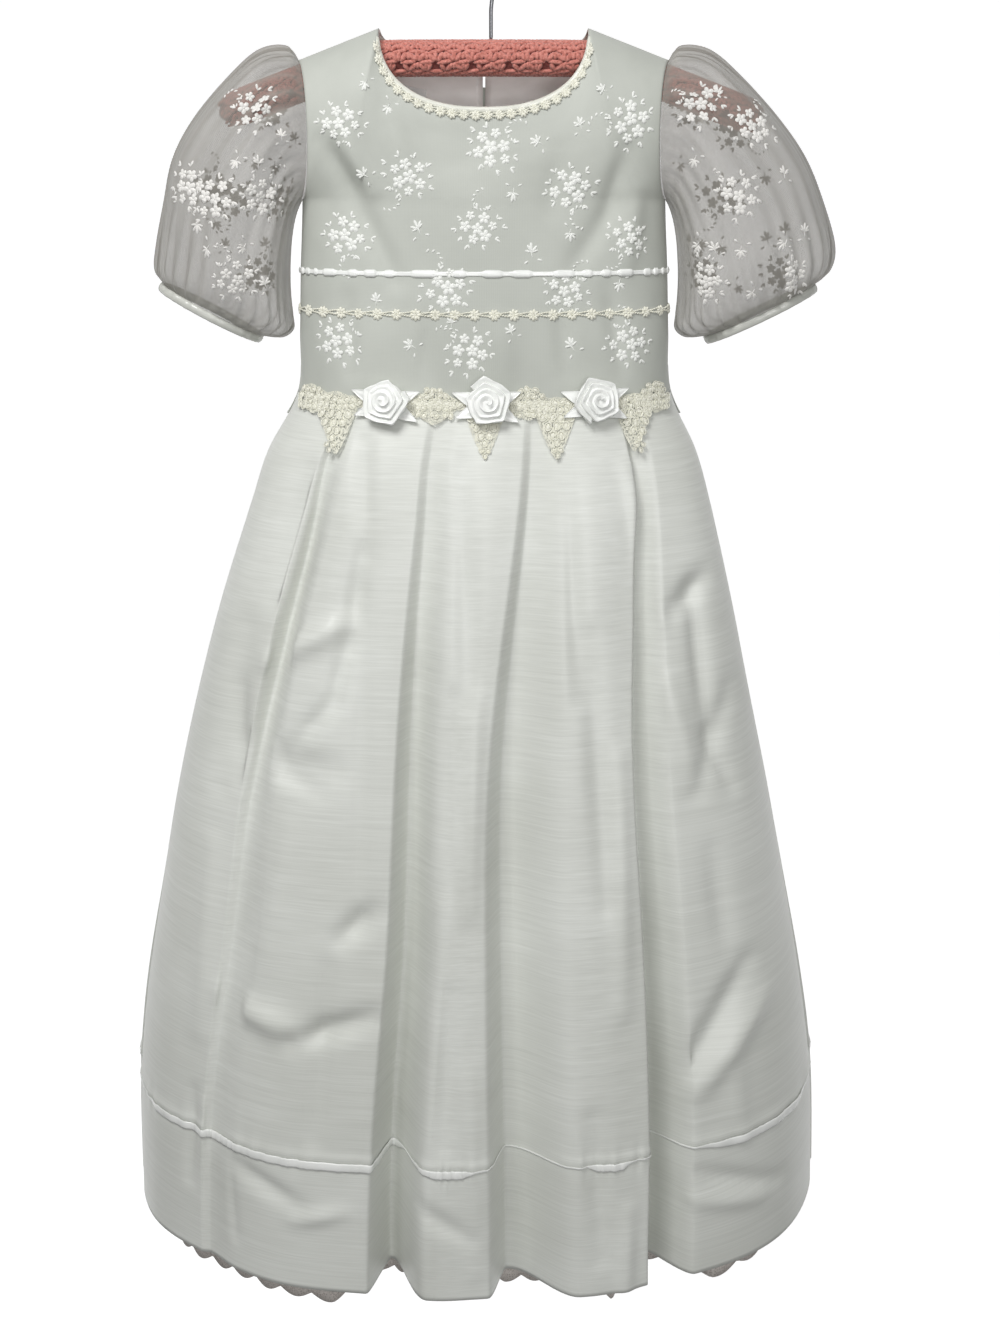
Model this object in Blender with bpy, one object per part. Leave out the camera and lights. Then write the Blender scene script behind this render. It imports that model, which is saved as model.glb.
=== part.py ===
# A girl's first communion dress hanging on a padded hanger.
#
# Metres, +Z up. The dress faces -Y, so the wearer's right is at -X. The origin is the underside of the
# hanger's wire hook at its top, where the rail carries it. Heights are given as drops below that point.

import bpy
import bmesh
import math
from mathutils import Matrix, Vector

# Driving sizes

SEAM_GAP = 0.0003
CLOTH = 0.0015
SHEER = 0.0012
TRIM = 0.0010
TRIM_LIFT = 0.0005
NECK_TRIM_LIFT = 0.0009

HEM_DROP = 1.147
WAIST_DROP = 0.3705
UNDERARM_DROP = 0.214
SHOULDER_DROP = 0.105
NECK_POINT_DROP = 0.080
FRONT_NECK_DROP = 0.143
BACK_NECK_DROP = 0.100
SKIRT_LENGTH = HEM_DROP - WAIST_DROP

SWAY = -0.006
SHOULDER_REACH = 0.151
UNDERARM_REACH = 0.150
NECK_REACH = 0.084
FRONT_NECK_STAND = 0.034
BACK_NECK_STAND = 0.030
NECK_SHARE = 0.56
NECK_END = 0.545
NECK_CURVE = 0.85
NECK_UPRIGHT = 1.2
SHOULDER_ROUNDNESS = 2.8

ARMHOLE_HALF_DEPTH = 0.034
ARMHOLE_BOW = 0.009
ARMHOLE_PULL = 1.8
LACE_ROW = 0.8
BINDING_ROW = 0.9
EDGE_ROW_GAP = 0.005
YOKE_ROWS = [-1.0, -BINDING_ROW, -LACE_ROW, -0.6, -0.4, -0.2, 0.0]
FRONT_ROWS = [0.17, 0.79]
BACK_ROWS = [0.25, 0.50, 0.75]
CENTRE_BACK = 0.0003
LEAST_FACING = 0.5

FRONT_WAIST_DIP = 0.0055
HEM_SIDE_RISE = 0.024
BACK_SPREAD = 0.040
SQUARENESS = 0.87

RIBBON_WIDTH = 0.0060
CHEST_RIBBON_DROP = 0.2705
DAISY_LACE_DROP = 0.3015
DAISY_LACE_WIDTH = 0.0100
DAISY_PITCH = 0.0160
DAISY_NARROWING = 0.55
FRONT_ARC_SHARE = 0.78
BINDING_WIDTH = 0.0050
NECK_LACE_WIDTH = 0.0095
HEM_RIBBON_WIDTH = 0.0085
HEM_RIBBON_RISE = 0.1220
HEM_RIBBON_END = 0.006

CUFF_WIDTH = 0.0065
CUFF_STAND = 0.0010

WIRE_RADIUS = 0.0016
HOOK_RADIUS = 0.020
HANGER_RADIUS = 0.0148
HANGER_HALF_SPAN = 0.222
HANGER_SEAT = 0.0005
HANGER_CREST_DROP = 0.103
HANGER_BEND = 0.004

# The padded bar: reaches from its middle, and its size there as a share of its radius
HANGER_STATIONS = [
    {"reach": 0.050, "size": 1.0},
    {"reach": 0.080, "size": 1.0},
    {"reach": 0.095, "size": 1.0},
    {"reach": 0.110, "size": 1.0},
    {"reach": 0.130, "size": 1.0},
    {"reach": 0.160, "size": 1.0},
    {"reach": 0.190, "size": 1.0},
    {"reach": 0.205, "size": 0.96},
    {"reach": 0.216, "size": 0.80},
    {"reach": HANGER_HALF_SPAN, "size": 0.42},
]
# The bent neck between the hook's stem and its round, going up
HOOK_NECK = [
    {"x": 0.0, "drop": 0.066},
    {"x": 0.0012, "drop": 0.056},
    {"x": 0.0062, "drop": 0.047},
    {"x": 0.0135, "drop": 0.0385},
]
HOOK_START = -25.0
HOOK_END = 205.0

# Sections of the body of the dress. Each row: height below the hook, half the width, half the depth, and
# how far the cloth hangs off to the wearer's right.
SECTIONS = [
    {"drop": 0.105, "half_width": 0.149, "half_depth": 0.040, "sway": -0.006},
    {"drop": 0.214, "half_width": 0.150, "half_depth": 0.044, "sway": -0.006},
    {"drop": 0.271, "half_width": 0.153, "half_depth": 0.050, "sway": -0.006},
    {"drop": 0.320, "half_width": 0.155, "half_depth": 0.055, "sway": -0.006},
    {"drop": 0.371, "half_width": 0.158, "half_depth": 0.061, "sway": -0.006},
    {"drop": 0.421, "half_width": 0.182, "half_depth": 0.076, "sway": -0.008},
    {"drop": 0.465, "half_width": 0.195, "half_depth": 0.086, "sway": -0.009},
    {"drop": 0.554, "half_width": 0.219, "half_depth": 0.100, "sway": -0.013},
    {"drop": 0.645, "half_width": 0.239, "half_depth": 0.112, "sway": -0.016},
    {"drop": 0.739, "half_width": 0.257, "half_depth": 0.124, "sway": -0.017},
    {"drop": 0.836, "half_width": 0.272, "half_depth": 0.135, "sway": -0.017},
    {"drop": 0.936, "half_width": 0.287, "half_depth": 0.145, "sway": -0.017},
    {"drop": 1.025, "half_width": 0.296, "half_depth": 0.151, "sway": -0.016},
    {"drop": 1.147, "half_width": 0.300, "half_depth": 0.156, "sway": -0.015},
]

# The skirt's pleats, going round from the right side seam by the front. Angles are in degrees from the
# front's middle, at the waist, halfway down and at the hem. Depths are in millimetres at a fifth of the way
# down, halfway and at the hem. The open side of each pleat slopes over "slope" degrees; its other side is
# steep.
PLEATS = [
    {"name": "right", "waist": -95, "middle": -94, "hem": -93, "high": 9, "half": 20, "low": 34, "slope": 8},
    {"name": "front 1", "waist": -42, "middle": -47, "hem": -51, "high": 17, "half": 7, "low": 4, "slope": 9},
    {"name": "front 2", "waist": -11, "middle": -10, "hem": -13, "high": 12, "half": 32, "low": 56, "slope": 7},
    {"name": "front 3", "waist": 12, "middle": 4, "hem": 4, "high": 12, "half": 28, "low": 44, "slope": 11},
    {"name": "front 4", "waist": 44, "middle": 32, "hem": 30, "high": 14, "half": 28, "low": 52, "slope": 8},
    {"name": "left", "waist": 95, "middle": 94, "hem": 93, "high": 9, "half": 22, "low": 38, "slope": 8},
    {"name": "back 1", "waist": 136, "middle": 133, "hem": 131, "high": 12, "half": 26, "low": 44, "slope": 9},
    {"name": "back 2", "waist": 166, "middle": 163, "hem": 161, "high": 12, "half": 28, "low": 50, "slope": 8},
    {"name": "back 3", "waist": 192, "middle": 196, "hem": 198, "high": 12, "half": 26, "low": 46, "slope": 10},
    {"name": "back 4", "waist": 224, "middle": 226, "hem": 229, "high": 12, "half": 25, "low": 42, "slope": 8},
    {"name": "right", "waist": 265, "middle": 266, "hem": 267, "high": 9, "half": 20, "low": 34, "slope": 8},
]
STEEP_DEGREES = 2.6
PANEL_CROWN = 0.005
FRONT_PLEATS = range(0, 5)
BACK_PLEATS = range(5, 10)

# Drops of the skirt's rows below the waist seam
SKIRT_ROWS = [0.0, 0.018, 0.055, 0.115, 0.190, 0.285, 0.390, 0.490, 0.585]
UNDERSKIRT_ROWS = [0.002, 0.030, 0.110, 0.300, 0.520]
UNDERSKIRT_HEM = 0.750
UNDERSKIRT_LACE_END = 0.800
# How far inside the skirt the slip hangs, in millimetres, by the distance below the waist seam
UNDERSKIRT_INSET = [
    {"fall": 0.000, "inset": 1.75},
    {"fall": 0.030, "inset": 6.5},
    {"fall": 0.200, "inset": 9.0},
    {"fall": 0.780, "inset": 14.0},
]
UNDERSKIRT_RAMP = 7.0

# Stations down the puff sleeve. Reaches are from the dress's middle and drops from the hook; the outer line
# is the sleeve's outline over the arm, the inner line runs beside the bodice, and the gather is the height
# of its waves.
SLEEVE_STATIONS = [
    {"along": 0, "outer_reach": 0.151, "outer_drop": 0.105, "inner_reach": 0.150, "inner_drop": 0.214,
     "half_depth": 0.034, "gather": 0.0000, "left_more": 0.000},
    {"along": 1, "outer_reach": 0.159, "outer_drop": 0.096, "inner_reach": 0.1535, "inner_drop": 0.221,
     "half_depth": 0.040, "gather": 0.0022, "left_more": 0.000},
    {"along": 2, "outer_reach": 0.181, "outer_drop": 0.099, "inner_reach": 0.158, "inner_drop": 0.236,
     "half_depth": 0.047, "gather": 0.0024, "left_more": 0.001},
    {"along": 3, "outer_reach": 0.205, "outer_drop": 0.117, "inner_reach": 0.161, "inner_drop": 0.252,
     "half_depth": 0.053, "gather": 0.0014, "left_more": 0.002},
    {"along": 4, "outer_reach": 0.236, "outer_drop": 0.150, "inner_reach": 0.163, "inner_drop": 0.274,
     "half_depth": 0.057, "gather": 0.0008, "left_more": 0.004},
    {"along": 5, "outer_reach": 0.255, "outer_drop": 0.182, "inner_reach": 0.163, "inner_drop": 0.292,
     "half_depth": 0.056, "gather": 0.0008, "left_more": 0.009},
    {"along": 6, "outer_reach": 0.264, "outer_drop": 0.218, "inner_reach": 0.162, "inner_drop": 0.307,
     "half_depth": 0.052, "gather": 0.0012, "left_more": 0.016},
    {"along": 7, "outer_reach": 0.271, "outer_drop": 0.252, "inner_reach": 0.162, "inner_drop": 0.319,
     "half_depth": 0.045, "gather": 0.0020, "left_more": 0.019},
    {"along": 8, "outer_reach": 0.273, "outer_drop": 0.272, "inner_reach": 0.171, "inner_drop": 0.326,
     "half_depth": 0.037, "gather": 0.0022, "left_more": 0.014},
    {"along": 9, "outer_reach": 0.267, "outer_drop": 0.282, "inner_reach": 0.186, "inner_drop": 0.325,
     "half_depth": 0.031, "gather": 0.0006, "left_more": 0.008},
]
SLEEVE_COLUMNS = 33
SLEEVE_GATHERS = 11
CUFF_COLUMNS = 22
SLEEVE_SEAM = SEAM_GAP * 1.4
UNDERARM_SEAM = SEAM_GAP * 4.0
SLEEVE_SEAM_END = 4
ARMHOLE_BOW_END = 1.6

# The corded lace across the front waist: its clusters rise above the seam and its points hang below it
WAIST_LACE_SHAPES = [
    {"x": -0.147, "half_width": 0.020, "rise": 0.012, "hang": 0.014},
    {"x": -0.127, "half_width": 0.019, "rise": 0.008, "hang": 0.046},
    {"x": -0.047, "half_width": 0.024, "rise": 0.014, "hang": 0.018},
    {"x": -0.005, "half_width": 0.019, "rise": 0.006, "hang": 0.047},
    {"x": 0.031, "half_width": 0.022, "rise": 0.014, "hang": 0.014},
    {"x": 0.053, "half_width": 0.020, "rise": 0.006, "hang": 0.047},
    {"x": 0.117, "half_width": 0.018, "rise": 0.006, "hang": 0.044},
    {"x": 0.136, "half_width": 0.020, "rise": 0.014, "hang": 0.014},
]
WAIST_LACE_BAND = 0.005
WAIST_LACE_HALF_SPAN = 0.1485
WAIST_LACE_COLUMNS = 43
WAIST_LACE_LIFT = 0.0008
WAIST_LACE_ROWS = [-1.0, 0.0, 0.45, 1.0]
SIDE_LIFT = 0.0016
SIDE_LIFT_START = 0.105
SIDE_LIFT_RUN = 0.035
ROSE_PLACES = [-0.086, -0.003, 0.086]
ROSE_RADIUS = 0.0205
ROSE_HEIGHT = 0.011
ROSE_TURNS = 3
ROSE_COLUMNS = 22
ROSE_FOOT = 0.75
ROSE_RINGS = [0.15, 0.36, 0.58, 0.80, 1.0]
LEAF_POINTS = [24.0, 158.0, 205.0, 328.0]
LEAF_SPREAD = 34.0
LEAF_REACH = 0.030
LEAF_THICKNESS = 0.0014
LEAF_GAP = 0.0012
LEAF_FLATNESS = 0.85

BUTTON_COUNT = 5
BUTTON_ROWS = (-0.72, 0.80)
BUTTON_RADIUS = 0.0048
BUTTON_THICKNESS = 0.0030
BUTTON_TAPER = 0.8
PLACKET_REACH = 0.0204
PLACKET_ROWS = (-LACE_ROW + 0.01, 0.94)
LABEL_COLUMNS = [0.25, 0.30, 0.35]
LABEL_ROWS = [-0.76, -0.62]

SASH_HALF_HEIGHT = 0.021
SASH_KNOT_HALF_HEIGHT = 0.012
SASH_START = 96.5
SASH_END = 175.8
SASH_SIDE_BULGE = 0.010
SASH_SLACK = 0.018
LOOP_REACH = 0.098
LOOP_FULLNESS = 0.009
LOOP_LIFT = 0.0062
LOOP_NARROW_HALF = 0.011
LOOP_WIDE_HALF = 0.024
LOOP_DROOP = 0.16
SASH_LIFT = 0.0014
SASH_COLUMNS = [0.0, 0.03, 0.07, 0.12, 0.18, 0.26, 0.36, 0.46, 0.56, 0.67, 0.78, 0.89, 1.0]
TAIL_LENGTH = 0.400
TAIL_ROWS = [0.06, 0.10, 0.16, 0.22, 0.28, 0.34, TAIL_LENGTH]
TAIL_TOP_HALF_WIDTH = 0.0095
TAIL_PARTING = 0.0015
TAIL_SLANT = 0.04
TAIL_HALF_WIDTH = 0.024
TAIL_SPREAD = 0.026
KNOT_HALF_WIDTH = 0.015
KNOT_HALF_DEPTH = 0.0105
KNOT_HALF_HEIGHT = 0.015
KNOT_FALL = 0.010
KNOT_LIFT = -0.0003

# Finishes: colour as linear red, green and blue, then roughness and metallic
FINISHES = {
    "embroidered organza": ((0.60, 0.62, 0.58), 0.70, 0.0),
    "sheer organza": ((0.48, 0.47, 0.44), 0.60, 0.0),
    "shantung": ((0.66, 0.69, 0.63), 0.45, 0.0),
    "satin": ((0.82, 0.83, 0.80), 0.30, 0.0),
    "ivory lace": ((0.72, 0.72, 0.62), 0.75, 0.0),
    "petticoat net": ((0.40, 0.38, 0.36), 0.80, 0.0),
    "crocheted yarn": ((0.62, 0.22, 0.18), 0.90, 0.0),
    "steel wire": ((0.45, 0.45, 0.46), 0.30, 1.0),
    "pearl button": ((0.80, 0.79, 0.74), 0.25, 0.0),
}


def finish(name):
    """The material of that name, made the first time that it is asked for."""
    found = bpy.data.materials.get(name)
    if found:
        return found
    colour, roughness, metallic = FINISHES[name]
    made = bpy.data.materials.new(name)
    made.use_nodes = True
    shader = made.node_tree.nodes["Principled BSDF"]
    shader.inputs["Base Color"].default_value = (*colour, 1.0)
    shader.inputs["Roughness"].default_value = roughness
    shader.inputs["Metallic"].default_value = metallic
    return made


def add_piece(name, shape, finish_name):
    """Put a finished bmesh into the dress's collection as one named object."""
    bmesh.ops.recalc_face_normals(shape, faces=shape.faces)
    mesh = bpy.data.meshes.new(name)
    shape.to_mesh(mesh)
    shape.free()
    mesh.shade_smooth()
    mesh.set_sharp_from_angle(angle=math.radians(50))
    mesh.materials.append(finish(finish_name))
    piece = bpy.data.objects.new(name, mesh)
    bpy.data.collections["first communion dress"].objects.link(piece)
    return piece


# Curves and steps that the pieces share

def ease(value):
    """Nought below 0, one above 1, with a smooth turn between."""
    value = min(max(value, 0.0), 1.0)
    return value * value * (3.0 - 2.0 * value)


def read(table, column, key, place):
    """The value of one column of a table at a place between its rows, on a smooth curve."""
    last = len(table) - 1
    if place <= table[0][key]:
        return table[0][column]
    if place >= table[last][key]:
        return table[last][column]
    low = max(index for index in range(last) if table[index][key] <= place)

    def slope(index):
        before = max(index - 1, 0)
        after = min(index + 1, last)
        return (table[after][column] - table[before][column]) / (table[after][key] - table[before][key])

    span = table[low + 1][key] - table[low][key]
    share = (place - table[low][key]) / span
    start, end = table[low][column], table[low + 1][column]
    leaving = slope(low) * span * (share**3 - 2 * share**2 + share)
    arriving = slope(low + 1) * span * (share**3 - share**2)
    return start + (end - start) * (3 * share**2 - 2 * share**3) + leaving + arriving


def signed_power(value, power):
    return math.copysign(abs(value) ** power, value)


def blend(start, end, share):
    return start + (end - start) * share


def spread(start, end, count):
    """Evenly spaced values from start to end, both included."""
    return [blend(start, end, index / (count - 1)) for index in range(count)]


# Walls of cloth

def outward(surface, column, row, column_step, row_step):
    """The unit normal of a surface whose columns run anticlockwise from above and whose rows run
    downwards."""
    along = surface(column + column_step, row) - surface(column - column_step, row)
    down = surface(column, row + row_step) - surface(column, row - row_step)
    return down.cross(along).normalized()


def close_wall(name, outer, inner, finish_name, ring=False):
    """One closed body between two grids of points, read as rows of columns."""
    shape = bmesh.new()
    outer_points = [[shape.verts.new(point) for point in row] for row in outer]
    inner_points = [[shape.verts.new(point) for point in row] for row in inner]
    rows = len(outer)
    columns = len(outer[0])
    steps = columns if ring else columns - 1
    for row in range(rows - 1):
        for column in range(steps):
            after = (column + 1) % columns
            for grid in (outer_points, inner_points):
                upper, lower = grid[row], grid[row + 1]
                shape.faces.new((upper[column], upper[after], lower[after], lower[column]))
    for row in (0, rows - 1):
        for column in range(steps):
            after = (column + 1) % columns
            shape.faces.new((outer_points[row][column], outer_points[row][after],
                             inner_points[row][after], inner_points[row][column]))
    if not ring:
        for column in (0, columns - 1):
            for row in range(rows - 1):
                shape.faces.new((outer_points[row][column], outer_points[row + 1][column],
                                 inner_points[row + 1][column], inner_points[row][column]))
    return add_piece(name, shape, finish_name)


def facings(points, ring):
    """For each point of a grid, the way out of its facets, long enough to move every one of them out by
    one."""
    rows = len(points)
    columns = len(points[0])
    facets = {}
    for row in range(rows - 1):
        for column in range(columns if ring else columns - 1):
            after = (column + 1) % columns
            falling = points[row + 1][after] - points[row][column]
            rising = points[row][after] - points[row + 1][column]
            facets[row, column] = falling.cross(rising).normalized()
    ways = []
    for row in range(rows):
        way_row = []
        for column in range(columns):
            before = (column - 1) % columns if ring else column - 1
            spots = [(row, column), (row - 1, column), (row, before), (row - 1, before)]
            around = [facets[spot] for spot in spots if spot in facets]
            way = sum(around, Vector()).normalized()
            way_row.append(way / max(min(facet.dot(way) for facet in around), LEAST_FACING))
        ways.append(way_row)
    return ways


def cloth(name, surface, columns, rows, outside, inside, finish_name, square_at=None, turned=1.0, ring=False):
    """A wall whose two faces lie at given distances from a surface, outwards. On a seam named by square_at
    the wall stays square to the seam, and turned is -1 where the columns run clockwise."""
    points = [[surface(column, row) for column in columns] for row in rows]
    ways = facings(points, ring)
    for row_ways, row in zip(ways, rows):
        for index, column in enumerate(columns):
            if square_at and square_at(column, row):
                row_ways[index] = Vector((row_ways[index].x, 0.0, row_ways[index].z))
    outer = []
    inner = []
    for row_points, row_ways in zip(points, ways):
        outer.append([point + way * turned * outside for point, way in zip(row_points, row_ways)])
        inner.append([point + way * turned * inside for point, way in zip(row_points, row_ways)])
    return close_wall(name, outer, inner, finish_name, ring)


# The dress's round sections

def section(degrees, drop):
    """A point of the smooth body at an angle from the front's middle, and the direction straight out of
    it."""
    angle = math.radians(degrees)
    half_width = read(SECTIONS, "half_width", "drop", drop)
    half_depth = read(SECTIONS, "half_depth", "drop", drop)
    sway = read(SECTIONS, "sway", "drop", drop)
    across = signed_power(math.sin(angle), SQUARENESS)
    ahead = signed_power(math.cos(angle), SQUARENESS)
    power = 2.0 / SQUARENESS - 1.0
    out = Vector((signed_power(across, power) / half_width, -signed_power(ahead, power) / half_depth, 0.0))
    down = ease((drop - WAIST_DROP) / SKIRT_LENGTH)
    widest_behind = math.exp(-((abs((degrees + 180) % 360 - 180) - 118) / 34) ** 2)
    spread_out = math.copysign(BACK_SPREAD * down * widest_behind, across)
    point = Vector((sway + across * half_width + spread_out, -ahead * half_depth, 0.0))
    return point, out.normalized()


def waist_height(degrees):
    return -WAIST_DROP - FRONT_WAIST_DIP * max(math.cos(math.radians(degrees)), 0.0)


def skirt_height(degrees, fall):
    """Height of the skirt at a distance below the waist seam; the sides and the back hang a little
    shorter."""
    rise = HEM_SIDE_RISE * min(1.0 - math.cos(math.radians(degrees)), 1.0)
    share = fall / SKIRT_LENGTH
    top = waist_height(degrees)
    return top - share * (HEM_DROP - rise + top)


def pleat_angle(pleat, fall):
    """Where a pleat's valley lies at a distance below the waist seam."""
    share = min(fall / SKIRT_LENGTH, 1.0)
    if share < 0.5:
        return blend(pleat["waist"], pleat["middle"], math.sin(share * math.pi))
    return blend(pleat["middle"], pleat["hem"], ease(share * 2 - 1))


def pleat_depth(pleat, fall):
    """How deep a pleat's valley is, in metres, at a distance below the waist seam."""
    stages = [
        {"share": 0.0, "depth": 0.0},
        {"share": 0.03, "depth": 3.0},
        {"share": 0.2, "depth": pleat["high"]},
        {"share": 0.5, "depth": pleat["half"]},
        {"share": 1.0, "depth": pleat["low"]},
    ]
    return read(stages, "depth", "share", min(fall / SKIRT_LENGTH, 1.0)) / 1000


def trough(degrees, fall):
    """Depth of the cloth below the smooth section: steep on the side before a valley, sloping after it."""
    degrees = (degrees + 95) % 360 - 95
    deepest = 0.0
    for pleat in PLEATS:
        valley = pleat_angle(pleat, fall)
        past = degrees - valley
        side = -past / STEEP_DEGREES if past < 0 else past / pleat["slope"]
        deepest = max(deepest, pleat_depth(pleat, fall) * (1.0 - ease(side)))
    return deepest


def crown(degrees, fall):
    """The slight roundness of each panel between two valleys."""
    degrees = (degrees + 95) % 360 - 95
    valleys = [pleat_angle(pleat, fall) for pleat in PLEATS]
    before = max(valley for valley in valleys if valley <= degrees + 1e-6 or valley == valleys[0])
    after = min(valley for valley in valleys if valley > before)
    share = (degrees - before) / (after - before)
    return PANEL_CROWN * min(fall / 0.1, 1.0) * math.sin(math.pi * min(max(share, 0.0), 1.0)) ** 2


def skirt_surface(degrees, fall):
    point, out = section(degrees, WAIST_DROP + max(fall, 0.0))
    point += out * (crown(degrees, fall) - trough(degrees, max(fall, 0.0)))
    point.z = skirt_height(degrees, fall)
    return point


def underskirt_surface(degrees, fall):
    """The slip hangs inside the skirt and follows its waves in wider, softer valleys."""
    level = min(fall, SKIRT_LENGTH)
    around = (degrees + 95) % 360 - 95
    deepest = 0.0
    for pleat in PLEATS:
        past = around - pleat_angle(pleat, level)
        beyond = -past - STEEP_DEGREES if past < 0 else past - pleat["slope"]
        deepest = max(deepest, pleat_depth(pleat, level) * (1.0 - ease(beyond / UNDERSKIRT_RAMP)))
    point, out = section(degrees, WAIST_DROP + level)
    point -= out * (read(UNDERSKIRT_INSET, "inset", "fall", level) / 1000 + deepest)
    point.z = skirt_height(degrees, level) - (fall - level)
    return point


def skirt_columns(pleats, fine):
    """The columns of the skirt, drawn in near the folds: degrees after a pleat's valley, and a share of the
    flat panel between its slope and the next pleat's steep side."""
    columns = []
    for number in pleats:
        slope = PLEATS[number]["slope"]
        columns += [(number, slope * share, 0.0) for share in (0.0, 0.5, 1.0)]
        columns += [(number, slope, (index + 1) / (fine + 1)) for index in range(fine)]
        columns += [(number + 1, -STEEP_DEGREES, 0.0), (number + 1, -STEEP_DEGREES / 2, 0.0)]
    columns.append((pleats[-1] + 1, 0.0, 0.0))
    return columns


def underskirt_columns(pleats, fine):
    """The columns of the slip, on some of the skirt's: the ends of each valley and two on the panel after
    it."""
    near = 1.0 / (fine + 1)
    columns = []
    for number in pleats:
        slope = PLEATS[number]["slope"]
        columns += [(number, 0.0, 0.0), (number, slope, 0.0)]
        columns += [(number, slope, near), (number, slope, 1.0 - near)]
        columns.append((number + 1, -STEEP_DEGREES, 0.0))
    columns.append((pleats[-1] + 1, 0.0, 0.0))
    return columns


def column_angle(column, fall):
    """The angle of a column at a height, so that the columns follow the pleats down."""
    number, after, share = column
    start = pleat_angle(PLEATS[number], fall) + after
    if share == 0.0:
        return start
    return blend(start, pleat_angle(PLEATS[number + 1], fall) - STEEP_DEGREES, share)


def skirt_wall(name, surface, columns, rows, outside, inside, finish_name, seam=SEAM_GAP * 0.7):
    """A part of the skirt between two side seams, with its columns on the pleats and its ends drawn in a
    little."""
    last = len(columns) - 1

    def spot(index, fall):
        return surface(column_angle(columns[index], fall), fall)

    def place(index, fall):
        point = spot(index, fall)
        if index in (0, last):
            neighbour = spot(1 if index == 0 else last - 1, fall)
            point += (neighbour - point).normalized() * seam
        return point

    return cloth(name, place, range(len(columns)), rows, outside, inside, finish_name)


def build_skirt():
    ribbon_middle = SKIRT_LENGTH - HEM_RIBBON_RISE
    ribbon = [ribbon_middle - HEM_RIBBON_WIDTH / 2, ribbon_middle + HEM_RIBBON_WIDTH / 2]
    rows = [SEAM_GAP / 2] + SKIRT_ROWS[1:] + ribbon + [SKIRT_LENGTH - 0.060, SKIRT_LENGTH]
    slip = UNDERSKIRT_ROWS + [UNDERSKIRT_HEM]
    lace = [UNDERSKIRT_HEM + SEAM_GAP, UNDERSKIRT_LACE_END]
    for side, pleats, fine in (("front", FRONT_PLEATS, 3), ("back", BACK_PLEATS, 2)):
        columns = skirt_columns(pleats, fine)
        skirt_wall(f"skirt_{side}", skirt_surface, columns, rows, 0.0, -CLOTH, "shantung")
        skirt_wall(f"hem_ribbon_{side}", skirt_surface, columns, ribbon, TRIM_LIFT + TRIM, TRIM_LIFT, "satin",
                   HEM_RIBBON_END)
        columns = underskirt_columns(pleats, fine)
        skirt_wall(f"underskirt_{side}", underskirt_surface, columns, slip, 0.0, -SHEER, "petticoat net")
        skirt_wall(f"underskirt_lace_{side}", underskirt_surface, columns, lace, 0.0, -SHEER, "petticoat net")


# The bodice

def neckline(share, back):
    """A point of the neck edge, from 0 at its middle to 1 at the neck point, standing out along +Y, and how
    far the cloth there has turned over the shoulder."""
    angle = share * math.pi / 2
    across = math.sin(angle) ** NECK_CURVE
    ahead = max(math.cos(angle), 0.0) ** NECK_CURVE
    depth = (BACK_NECK_DROP if back else FRONT_NECK_DROP) - NECK_POINT_DROP
    stand = BACK_NECK_STAND if back else FRONT_NECK_STAND
    point = Vector((across * NECK_REACH, stand * math.sqrt(ahead), -NECK_POINT_DROP - depth * ahead))
    return point, 1.0 - ahead


def shoulder(share):
    """A point of the shoulder seam, from 0 at the neck to 1 at the armhole."""
    drop = blend(NECK_POINT_DROP, SHOULDER_DROP, share)
    return Vector((blend(NECK_REACH, SHOULDER_REACH, share), 0.0, -drop))


def armhole(turn):
    """A point of the armhole, from 0 at the shoulder to 180 at the underarm, standing out along +Y."""
    angle = math.radians(turn)
    middle = (SHOULDER_DROP + UNDERARM_DROP) / 2
    half = (UNDERARM_DROP - SHOULDER_DROP) / 2
    reach = blend(UNDERARM_REACH, SHOULDER_REACH, (1.0 + math.cos(angle)) / 2)
    reach -= ARMHOLE_BOW * abs(math.sin(angle))
    return Vector((reach, ARMHOLE_HALF_DEPTH * math.sin(angle), -middle + half * math.cos(angle)))


def yoke_climb(length, share):
    """How far up a column a row lies: the last tenths belong to the neck lace and to the binding."""
    binding = 1.0 - BINDING_WIDTH / length
    lace = binding - NECK_LACE_WIDTH / length
    if share < LACE_ROW:
        return lace * share / LACE_ROW
    if share < BINDING_ROW:
        return blend(lace, binding, (share - LACE_ROW) / (BINDING_ROW - LACE_ROW))
    return blend(binding, 1.0, (share - BINDING_ROW) / (1.0 - BINDING_ROW))


def yoke_point(across, share, back):
    """A point above the underarm. across runs from -1 to 1 between the armholes, share from 0 to 1 up to
    the top."""
    facing = 1.0 if back else -1.0
    side = abs(across)
    start, _ = section(90.0 * side, UNDERARM_DROP)
    start = Vector((start.x - SWAY, max(-start.y, 0.0), -UNDERARM_DROP))
    if side < NECK_SHARE:
        end, rounded = neckline(side / NECK_SHARE, back)
    else:
        end, rounded = shoulder((side - NECK_SHARE) / (1.0 - NECK_SHARE)), 1.0
    climb = min(max(yoke_climb((end - start).length, min(max(share, 0.0), 1.0)), 0.0), 1.0)
    over_shoulder = (1.0 - climb ** SHOULDER_ROUNDNESS) ** (1.0 / SHOULDER_ROUNDNESS)
    upright = 1.0 - climb ** NECK_UPRIGHT
    point = start.lerp(end, climb)
    point.y = end.y + (start.y - end.y) * blend(upright, over_shoulder, rounded)
    seam = Vector((UNDERARM_REACH, 0.0, -UNDERARM_DROP)).lerp(shoulder(1.0), climb)
    point += (armhole(180.0 * (1.0 - climb)) - seam) * side ** ARMHOLE_PULL
    return Vector((math.copysign(point.x, across) + SWAY, facing * (point.y + SEAM_GAP * 0.7), point.z))


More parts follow.
